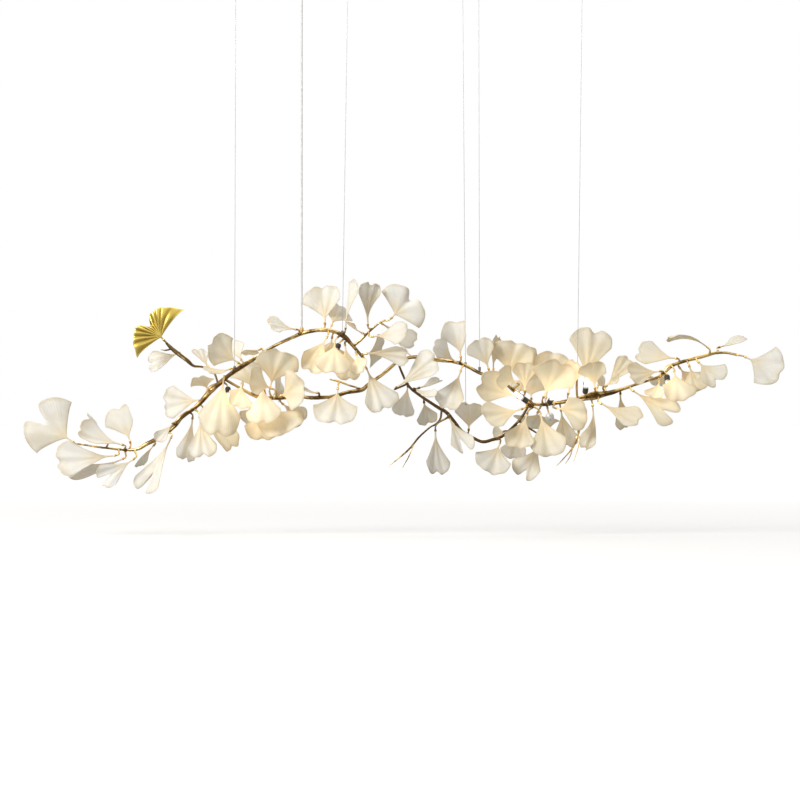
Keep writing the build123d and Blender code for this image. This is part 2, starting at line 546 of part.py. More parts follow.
def stud_solid(wire, branch):
    """A small stud on a branch, with a blind hole for the wire's end."""
    bore = WIRE_RADIUS + WIRE_CLEARANCE
    top = STUD_HEIGHT + STUD_BORE_DEPTH
    profile = [(0, -2), (STUD_RADIUS, -2), (STUD_RADIUS, top - 2), (STUD_RADIUS - 1, top),
               (bore, top), (bore, top - STUD_BORE_DEPTH), (0, top - STUD_BORE_DEPTH)]
    return post(wire[0], (0, 0, 1), profile) - branch


def grip_solid(wire, branch):
    """A side grip that the wire runs through."""
    bore = WIRE_RADIUS + WIRE_CLEARANCE
    half = STUD_HEIGHT / 2
    profile = [(bore, -half), (STUD_RADIUS, -half), (STUD_RADIUS, half), (STUD_RADIUS - 1, half + 2),
               (bore, half + 2)]
    return post(wire[0], (0, 0, 1), profile) - branch


def wire_foot(index):
    """Lower end of a wire, in the row frame."""
    place = at(WIRES[index][0])
    if index == GRIP_WIRE:
        return place - (wire_head(index) - place).normalized() * TAIL_LENGTH
    return place + Vector(0, 0, STUD_HEIGHT)


def wire_head(index):
    """Where a wire leaves the ceiling plane."""
    place = at(WIRES[index][0])
    return Vector(place.X + WIRES[index][1], place.Y, 0)


def rod(start, end, radius):
    return Solid.make_cylinder(radius, (end - start).length, Plane(origin=start, z_dir=end - start))


def wire_solid(index):
    """A taut wire from its branch end to the bore of its gripper plug."""
    foot = wire_foot(index)
    reach = CUP_HEIGHT + PLUG_FLANGE + PLUG_LENGTH - PLUG_BORE_DEPTH
    head = wire_head(index) - Vector(0, 0, reach)
    return rod(foot, head, WIRE_RADIUS)


def tail_ball(index):
    """The stop on the loose end of a wire."""
    ball = Pos(wire_foot(index)) * Sphere(TAIL_BALL_RADIUS)
    bore = Pos(wire_foot(index)) * Cylinder(WIRE_RADIUS + WIRE_CLEARANCE, 2 * TAIL_BALL_RADIUS,
                                            align=(Align.CENTER, Align.CENTER, Align.MIN))
    return ball - bore


def ceiling_cup(head):
    profile = [(SPIGOT_RADIUS, -CUP_HEIGHT), (CUP_RADIUS * 0.7, -CUP_HEIGHT),
               (CUP_RADIUS, -CUP_HEIGHT * 0.7), (CUP_RADIUS, 0), (CUP_HOLE_RADIUS, 0),
               (CUP_HOLE_RADIUS, -CUP_HOLE_DEPTH), (0, -CUP_HOLE_DEPTH),
               (0, SPIGOT_LENGTH - CUP_HEIGHT), (SPIGOT_RADIUS, SPIGOT_LENGTH - CUP_HEIGHT)]
    return turned(profile, head, (0, 0, 1))


def gripper_plug(head):
    """Plug that closes the barrel: spigot up into the cup, wire bore below."""
    bore = WIRE_RADIUS + WIRE_CLEARANCE
    under = -CUP_HEIGHT - PLUG_FLANGE
    profile = [(0, SPIGOT_LENGTH - CUP_HEIGHT), (SPIGOT_RADIUS, SPIGOT_LENGTH - CUP_HEIGHT),
               (SPIGOT_RADIUS, -CUP_HEIGHT), (BARREL_RADIUS, -CUP_HEIGHT), (BARREL_RADIUS, under),
               (BARREL_BORE_RADIUS, under), (BARREL_BORE_RADIUS, under - PLUG_LENGTH),
               (bore, under - PLUG_LENGTH), (bore, under - PLUG_LENGTH + PLUG_BORE_DEPTH),
               (0, under - PLUG_LENGTH + PLUG_BORE_DEPTH)]
    return turned(profile, head, (0, 0, 1))


def gripper_barrel(head):
    top = -CUP_HEIGHT - PLUG_FLANGE
    foot = top - BARREL_LENGTH
    mouth = PLUNGER_RADIUS + PLUNGER_CLEARANCE
    profile = [(BARREL_BORE_RADIUS, top), (BARREL_RADIUS, top), (BARREL_RADIUS, foot + 2),
               (BARREL_RADIUS - 1.5, foot), (mouth, foot), (mouth, foot + BARREL_FLOOR),
               (BARREL_BORE_RADIUS, foot + BARREL_FLOOR)]
    return turned(profile, head, (0, 0, 1))


def plunger(head):
    """Release plunger: a collared sleeve round the wire."""
    seat = -CUP_HEIGHT - PLUG_FLANGE - BARREL_LENGTH + BARREL_FLOOR + PLUNGER_CLEARANCE
    wide = BARREL_BORE_RADIUS - PLUNGER_CLEARANCE
    profile = [(PLUNGER_BORE_RADIUS, seat + PLUNGER_COLLAR), (wide, seat + PLUNGER_COLLAR),
               (wide, seat), (PLUNGER_RADIUS, seat), (PLUNGER_RADIUS, seat - PLUNGER_LENGTH + 0.5),
               (PLUNGER_RADIUS - 0.5, seat - PLUNGER_LENGTH), (PLUNGER_BORE_RADIUS, seat - PLUNGER_LENGTH)]
    return turned(profile, head, (0, 0, 1))


def power_rose():
    bore = CORD_RADIUS + CORD_CLEARANCE
    profile = [(bore, -ROSE_POCKET_DEPTH), (ROSE_POCKET_RADIUS, -ROSE_POCKET_DEPTH),
               (ROSE_POCKET_RADIUS, 0), (ROSE_RADIUS, 0), (ROSE_RADIUS, -ROSE_FLANGE * 0.6),
               (ROSE_RADIUS - 1.5, -ROSE_FLANGE), (ROSE_DOME_RADIUS + 1, -ROSE_FLANGE),
               (ROSE_DOME_RADIUS, -ROSE_FLANGE - 1), (ROSE_DOME_RADIUS, -ROSE_HEIGHT * 0.7),
               (ROSE_DOME_RADIUS * 0.7, -ROSE_HEIGHT), (bore, -ROSE_HEIGHT)]
    rose = turned(profile, (0, 0, 0), (0, 0, 1))
    for side in (-0.5, 0.5):
        rose -= Pos(side * ROSE_SCREW_SPACING, 0, 0) * Cylinder(ROSE_SCREW_RADIUS, 4 * ROSE_FLANGE)
    return rose


def terminal_block():
    """Two-pole block in the rose's pocket, with its two screw wells."""
    length, width, height = TERMINAL_SIZE
    block = Box(length, width, height, align=(Align.CENTER, Align.CENTER, Align.MIN))
    for side in (-0.25, 0.25):
        block -= Pos(side * length, 0, height) * Cylinder(1.6, height)
    return Pos(0, 0, -ROSE_POCKET_DEPTH) * block


def cord_grip():
    bore = CORD_RADIUS + GRIP_CLEARANCE
    profile = [(bore, -ROSE_HEIGHT), (GRIP_RADIUS, -ROSE_HEIGHT),
               (GRIP_RADIUS, -ROSE_HEIGHT - GRIP_LENGTH * 0.6),
               (GRIP_RADIUS * 0.6, -ROSE_HEIGHT - GRIP_LENGTH), (bore, -ROSE_HEIGHT - GRIP_LENGTH)]
    return turned(profile, (0, 0, 0), (0, 0, 1))


def cord_gland(branch):
    bore = CORD_RADIUS + CORD_CLEARANCE
    profile = [(0, 0), (GLAND_RADIUS, 0), (GLAND_RADIUS, GLAND_HEIGHT - 3), (GLAND_RADIUS - 1.5, GLAND_HEIGHT),
               (bore, GLAND_HEIGHT), (bore, GLAND_HEIGHT * 0.5), (0, GLAND_HEIGHT * 0.5)]
    return post(CORD_FOOT, (0, 0, 1), profile) - branch


def power_cord():
    foot = at(CORD_FOOT) + Vector(0, 0, GLAND_HEIGHT * 0.5)
    return rod(foot, Vector(0, 0, -ROSE_POCKET_DEPTH), CORD_RADIUS)


# Each twig: its node, centre line, the twig it stands on and the twig it ends on
LIMBS = {
    "main": ("main_branch", MAIN, None, None),
    "centre": ("main_branch", CENTRE_TWIG, "main", None),
    "lower": ("lower_branch", LOWER, "main", None),
    "side": ("lower_branch", SIDE_TWIG, "lower", None),
    "cascade": ("cascade_branch", CASCADE, "lower", "lower"),
    "right": ("right_branch", RIGHT, "lower", None),
    "gold": ("gold_twig", GOLD_TWIG, "main", None),
    "post": ("right_branch", WIRE_POST, "right", None),
    "gold_spur": ("gold_twig", GOLD_SPUR, "gold", None),
    "bare_left": ("bare_twig_left", BARE_LEFT, "cascade", None),
    "bare_left_spur": ("bare_twig_left", BARE_LEFT_SPUR, "bare_left", None),
    "bare_right": ("bare_twig_right", BARE_RIGHT, "right", None),
    "bare_right_spur_1": ("bare_twig_right", BARE_RIGHT_SPURS[0], "bare_right", None),
    "bare_right_spur_2": ("bare_twig_right", BARE_RIGHT_SPURS[1], "bare_right", None),
}
LEAF_LIMBS = ("main", "centre", "lower", "side", "cascade", "right", "gold")
STALK_NODES = {"main_branch": "main_stalks", "lower_branch": "lower_stalks",
               "cascade_branch": "cascade_stalks", "right_branch": "right_stalks",
               "gold_twig": "gold_stalks"}
STUD_LIMBS = ("main", "main", "lower", "lower", "post")


def limbs():
    """Every twig's solid, each seated on the one that carries it."""
    made = {}
    for name, (node, line, parent, goal) in LIMBS.items():
        made[name] = tube(line, made.get(parent), made.get(goal)).solid()
    return made


def carrier(place):
    """The twig that carries a place, and the nearest point of its centre line."""
    spots = []
    for name in LEAF_LIMBS:
        node, line, parent, goal = LIMBS[name]
        free = line[1 if parent else 0:len(line) - 1 if goal else None]
        spots.append((name, nearest(free, place)))
    return min(spots, key=lambda spot: (spot[1] - place).length)


def all_leaves():
    return [leaf for group in LEAVES.values() for leaf in group] + [GOLD_LEAF]


def nodes():
    """Every node with its solids."""
    made = {}
    twigs = limbs()
    for name, solid in twigs.items():
        made.setdefault(LIMBS[name][0], []).append(solid)
    for leaf in all_leaves():
        direction = stem_direction(leaf)
        end = at(leaf[0]) - direction * COLLAR_FLOOR
        name, root = carrier(end)
        node = STALK_NODES[LIMBS[name][0]]
        made.setdefault(node, []).append(stalk(twigs[name], root, end, direction))
    made["lamp_arms"] = []
    for lamp in LAMPS:
        name, root = carrier(at(lamp[0]))
        made["lamp_arms"].append(stalk(twigs[name], root, at(lamp[0]), Vector(*lamp[1]).normalized()))
    for name, group in LEAVES.items():
        made[name] = [leaf_solid(leaf) for leaf in group]
    made["gold_leaf"] = [leaf_solid(GOLD_LEAF)]
    made["leaf_collars"] = [collar_solid(leaf) for leaf in all_leaves()]
    made["lamp_holders"] = [holder_solid(lamp) for lamp in LAMPS]
    for i, lamp in enumerate(LAMPS):
        made[f"lamp_{i + 1}"] = lamp_solids(lamp)
    heads = [wire_head(i) for i in range(len(WIRES))]
    made["ceiling_cups"] = [ceiling_cup(head) for head in heads]
    made["gripper_plugs"] = [gripper_plug(head) for head in heads]
    made["gripper_barrels"] = [gripper_barrel(head) for head in heads]
    made["wire_studs"] = []
    for i, head in enumerate(heads):
        made[f"plunger_{i + 1}"] = [plunger(head)]
        made[f"suspension_wire_{i + 1}"] = [wire_solid(i)]
        maker = grip_solid if i == GRIP_WIRE else stud_solid
        made["wire_studs"].append(maker(WIRES[i], twigs[STUD_LIMBS[i]]))
    name, root, way = bead_way()
    end = at(BEAD_PLACE) - way * (BEAD_RADIUS - BEAD_HOLE)
    made[STALK_NODES[LIMBS[name][0]]].append(stalk(twigs[name], root, end, way))
    made["flower_bead"] = [bead_solid()]
    made["wire_tail_stop"] = [tail_ball(GRIP_WIRE)]
    made["power_rose"] = [power_rose()]
    made["terminal_block"] = [terminal_block()]
    made["cord_grip"] = [cord_grip()]
    made["cord_gland"] = [cord_gland(twigs["main"])]
    made["power_cord"] = [power_cord()]
    return made


def main():
    os.makedirs("parts", exist_ok=True)
    for name, solids in nodes().items():
        flat = [solid for piece in solids for solid in piece.solids()]
        shape = flat[0] if len(flat) == 1 else Compound(children=flat)
        export_step(shape, f"parts/{name}.step")


if __name__ == "__main__":
    main()
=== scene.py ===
"""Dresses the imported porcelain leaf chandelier: leaves, cast twigs, lamps, wires and a studio."""
import math
import random

import bpy
import numpy as np
from bpy.props import FloatProperty, FloatVectorProperty, PointerProperty
from mathutils import Matrix, Vector


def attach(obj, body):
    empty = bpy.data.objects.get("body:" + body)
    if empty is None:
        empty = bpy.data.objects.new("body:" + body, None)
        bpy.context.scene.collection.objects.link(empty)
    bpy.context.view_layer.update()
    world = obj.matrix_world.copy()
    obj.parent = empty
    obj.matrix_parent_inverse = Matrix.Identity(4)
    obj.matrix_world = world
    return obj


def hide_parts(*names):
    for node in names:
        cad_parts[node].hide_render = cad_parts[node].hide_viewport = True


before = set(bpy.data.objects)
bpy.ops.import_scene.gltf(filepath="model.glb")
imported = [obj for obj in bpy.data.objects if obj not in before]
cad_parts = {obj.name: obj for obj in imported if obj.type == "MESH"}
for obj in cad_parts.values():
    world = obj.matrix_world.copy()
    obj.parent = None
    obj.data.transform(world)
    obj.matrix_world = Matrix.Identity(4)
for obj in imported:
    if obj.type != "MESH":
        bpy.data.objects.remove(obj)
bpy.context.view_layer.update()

bl_info = {
    "name": "Porcelain Leaf Chandelier",
    "version": (1, 0, 0),
    "blender": (4, 5, 0),
    "location": "View3D > Sidebar > Chandelier",
    "description": "Leaves, twigs, lamps and wires of a hanging porcelain chandelier",
    "category": "Object",
}

# Where the spray hangs from the middle of the power rose, mm
MM = 0.001
SPRAY_X = 246.0
SPRAY_Y = -10.3
SPRAY_DROP = 1090.0
BODY = "spray"

# Leaf form, as in the solids: the stem's width in mm, the rest shares and powers
LEAF_ROUNDING = 0.62
LEAF_EDGE_SHARE = 0.65
STEM_WIDTH = 3.8
STEM_SHARE = 0.14
STEM_TAPER = 4
FLARE_EASE = 0.2
NOTCH_WIDTH = 0.16
EDGE_CURVE = ((0.6, 2), (0.5, 6))
CORNER_POWER = 8
CORNER_TRIM = 0.09
CORNER_LAG = 0.05
MIDLINE_STEPS = 40
BEND_POWER = 1.5

# Columns and rows of the grids that leaves are shaped from
LEAF_GRID = (24, 20)
GOLD_GRID = (88, 28)

# Each leaf's own form: shares and waves of its scallops and folds, ranges of its lip and sway
SCALLOPS = ((0.6, 6.5), (0.4, 13))
FOLDS = ((0.65, 4.2), (0.35, 8.5))
FOLD_LEAN = 1.5
FOLD_MIDDLE = 0.35
LIP_RANGE = (-0.03, 0.11)
SWAY_RANGE = (-0.08, 0.08)
GOLD_FORM = {"wave": 0.08, "scallop": 0.04, "curl": 0.22, "rib": 0.0018, "rib_count": 11}
LEAF_SEED = 7
GOLD_SEED = 3

# Twigs: step along the line (mm), strands wound on a core, and the ranges of each strand's form
TWIG_SEED = 11
TWIG_STEP = 4.0
THIN_TWIG = 3.5
CORE_SHARE = 0.80
STRANDS = 4
WINDING = (9, 15)
STRAND_SWAY = (50, 80)
SWAY_SHARE = 0.12
STRAND_GIRTH = (0.34, 0.46)
STRAND_SWELL = (60, 110)
SWELL_SHARE = 0.18
STRAND_INSET = 0.85
SIDE_HINT = (0.31, 0.87, 0.38)
BARK_SCALE = 0.009

# Collars, stalks, cups, bead and lamps: mm, degrees, and shares of a length or radius
COLLAR_FLOOR = 2.0
COLLAR_DEPTH = 5.0
COLLAR_RADIUS = 3.6
STALK_RADIUS = 2.0
STALK_TAPER = (1.6, 1.0)
STALK_POINTS = 14
STALK_HANDLES = (0.45, 0.35)
ROOT_CLEAR = 0.05
CUP_FOOT = 4.0
CUP_SHARES = (0.55, 0.66, 0.88, 1.0, 0.97)
BEAD_RADIUS = 11.0
HOLDER_LENGTH = 14.3
BULB_RADIUS = 4.8
BULB_LENGTH = 27.0
FOOT_RADIUS = 5.6
FOOT_LENGTH = 5.0
PIN_RADIUS = 0.4
PIN_LENGTH = 8.0
PIN_SPACING = 4.0
TIP_ANGLES = (0, 18, 36, 52, 66, 78, 87)
SHARP_ANGLE = 40

# Suspension, as in the solids, mm
WIRE_WIDTH = 1.2
CORD_WIDTH = 4.4
STUD_HEIGHT = 9.0
GLAND_SEAT = 8.0
PLUG_SEAT = 20.0
ROSE_SEAT = 12.0
TAIL_LENGTH = 98.0

# Finishes
RIB_COUNT = 26
RIB_WANDER = 1.2
RIB_WANDER_SCALE = 60
# Painted shade along the rim of each leaf: where it starts, its share and its tint
RIM_START = 0.90
RIM_SHADE_SHARE = 0.7
RIM_PAINTED_SHADE = (0.76, 0.71, 0.63)
# Painted brass reflection and shade at each leaf's foot, fading out over these shares of its length
FOOT_FADE = (0.02, 0.75)
CLOUD_SPREAD = (0.42, 0.72)
CLOUD_SHARE = 0.8
CLOUD_TINT = (0.88, 0.84, 0.77)
# Painted lamplight: a warm tint on the leaves near each lamp
PAINTED_LAMPLIGHT_TINT = (1.0, 0.93, 0.79)
WEAR_SPREAD = 0.16
WEAR_SHINE = 0.18

# Studio: metres, and each light's place, aim, size, watts and colour
CAMERA_AWAY = 8.0
FLOOR_SIZE = 60
FLOOR_LEVEL = -1.43
FLOOR_LIGHT = 0.555
FLOOR_FAR_LIGHT = 0.28
FLOOR_FADE = (0.5, 5.0)
SURROUND = (0.34, 0.325, 0.30)
LIGHTS = {
    "key": ((-2.2, -2.4, 0.9), (0.2, 0, -1.1), 1.6, 108, (1.0, 0.985, 0.96)),
    "top": ((0.4, 0.9, 1.6), (0.2, 0, -1.2), 2.4, 22, (1.0, 0.99, 0.97)),
    "side": ((3.2, -1.2, -0.2), (0.2, 0, -1.1), 1.6, 4, (1.0, 0.95, 0.88)),
}

# Branch centre lines in the spray's own frame: x, y, z and radius
MAIN = [
    (-805, 5, -110, 2.5), (-738, 2, -120, 3.0), (-665, -5, -125, 4.5), (-632, -8, -110, 6.0),
    (-598, -8, -92, 6.5), (-565, -6, -65, 6.0), (-545, -4, -42, 6.0), (-512, 0, -18, 6.0),
    (-488, 2, 8, 7.0), (-472, 4, 28, 10.5), (-452, 5, 42, 7.0), (-428, 8, 62, 6.0),
    (-390, 12, 88, 5.5), (-348, 15, 115, 5.5), (-310, 15, 138, 5.0), (-272, 12, 155, 5.0),
    (-242, 10, 168, 5.5), (-202, 6, 175, 5.0), (-168, 2, 172, 5.0), (-140, 0, 158, 7.0),
    (-118, 2, 135, 5.0), (-96, 5, 110, 4.5), (-84, 6, 98, 3.6),
]
CENTRE_TWIG = [(-118, 2, 135, 3.5), (-98, -4, 150, 3.5), (-76, -8, 172, 3.4), (-52, -10, 192, 3.0),
               (-36, -10, 200, 2.8)]
LOWER = [
    (-440, 7, 53, 4.0), (-400, 22, 30, 4.2), (-355, 28, 8, 5.0), (-305, 18, 5, 5.0),
    (-260, 6, 10, 5.0), (-228, 0, 6, 5.0), (-190, -4, 6, 5.0), (-160, -6, 10, 5.8),
    (-135, -6, 18, 5.0), (-95, -4, 26, 5.8), (-80, -2, 38, 5.0), (-38, 2, 68, 5.2),
    (-5, 8, 95, 4.5), (38, 20, 108, 4.5), (100, 20, 100, 4.5), (152, 8, 92, 5.0),
    (200, 6, 68, 5.2), (225, 8, 62, 4.5), (248, 10, 55, 4.2), (288, 15, 22, 4.8),
    (312, 16, 2, 6.0), (325, 16, -10, 10.0), (333, 16, -18, 6.0),
]
SIDE_TWIG = [(-92, -4, 27, 2.6), (-125, -14, 36, 2.6), (-148, -18, 45, 3.0), (-176, -20, 52, 2.2)]
CASCADE = [
    (-5, 8, 95, 3.0), (8, 10, 62, 3.5), (25, 4, 32, 4.0), (55, 0, 8, 5.0), (90, -4, -15, 5.0),
    (116, -6, -30, 5.2), (135, -5, -52, 4.5), (155, -2, -78, 4.2), (192, 2, -100, 4.6),
    (210, 3, -105, 5.2), (230, 4, -100, 5.0), (258, 8, -90, 4.2), (300, 14, -50, 4.0),
    (322, 16, -16, 3.6),
]
RIGHT = [
    (326, 16, -10, 4.5), (352, 19, -12, 5.0), (380, 20, -10, 5.2), (438, 15, 0, 6.0),
    (466, 11, 6, 9.0), (485, 8, 10, 11.0), (522, 4, 18, 7.0), (562, 2, 30, 5.0),
    (590, 2, 39, 4.5), (618, 2, 48, 4.0), (645, 2, 58, 4.5), (662, 2, 72, 5.5),
    (671, 2, 82, 7.0), (688, 2, 90, 4.6), (720, 4, 100, 4.5), (762, 6, 110, 4.5),
    (790, 8, 118, 5.0), (815, 6, 118, 4.0), (845, 3, 112, 3.6),
]
WIRE_POST = [(444, 14, 2, 3.0), (442, 6, 32, 3.0), (443, 2, 58, 3.0), (444, 0, 78, 2.8)]
GOLD_TWIG = [
    (-455, 5, 42, 3.0), (-466, -2, 70, 3.0), (-492, -5, 82, 3.0), (-516, -6, 85, 4.0),
    (-530, -6, 97, 6.0), (-550, -6, 112, 5.5), (-570, -6, 128, 5.0), (-584, -6, 143, 3.4),
]
GOLD_SPUR = [(-570, -6, 128, 2.6), (-585, -12, 124, 2.2), (-598, -16, 126, 1.4)]
BARE_LEFT = [
    (104, -5, -24, 3.2), (101, -14, -46, 3.6), (90, -20, -60, 3.6), (75, -24, -68, 3.0),
    (48, -28, -92, 3.2), (20, -32, -125, 2.6), (-28, -36, -165, 1.4),
]
BARE_LEFT_SPUR = [
    (34, -30, -108, 2.0), (31, -42, -117, 1.9), (21, -48, -142, 1.7), (4, -50, -172, 1.1),
]
BARE_RIGHT = [
    (448, 14, 2, 3.4), (456, 4, -30, 3.6), (452, -2, -60, 3.6), (442, -8, -92, 3.2),
    (432, -10, -118, 2.6), (412, -14, -142, 2.0), (390, -18, -165, 1.2),
]
BARE_RIGHT_SPURS = [
    [(434, -10, -114, 2.0), (430, -22, -122, 1.9), (424, -28, -140, 1.7), (411, -32, -160, 1.1)],
    [(444, -7, -86, 2.0), (447, -19, -94, 1.9), (444, -28, -118, 1.7), (432, -36, -154, 1.1)],
]

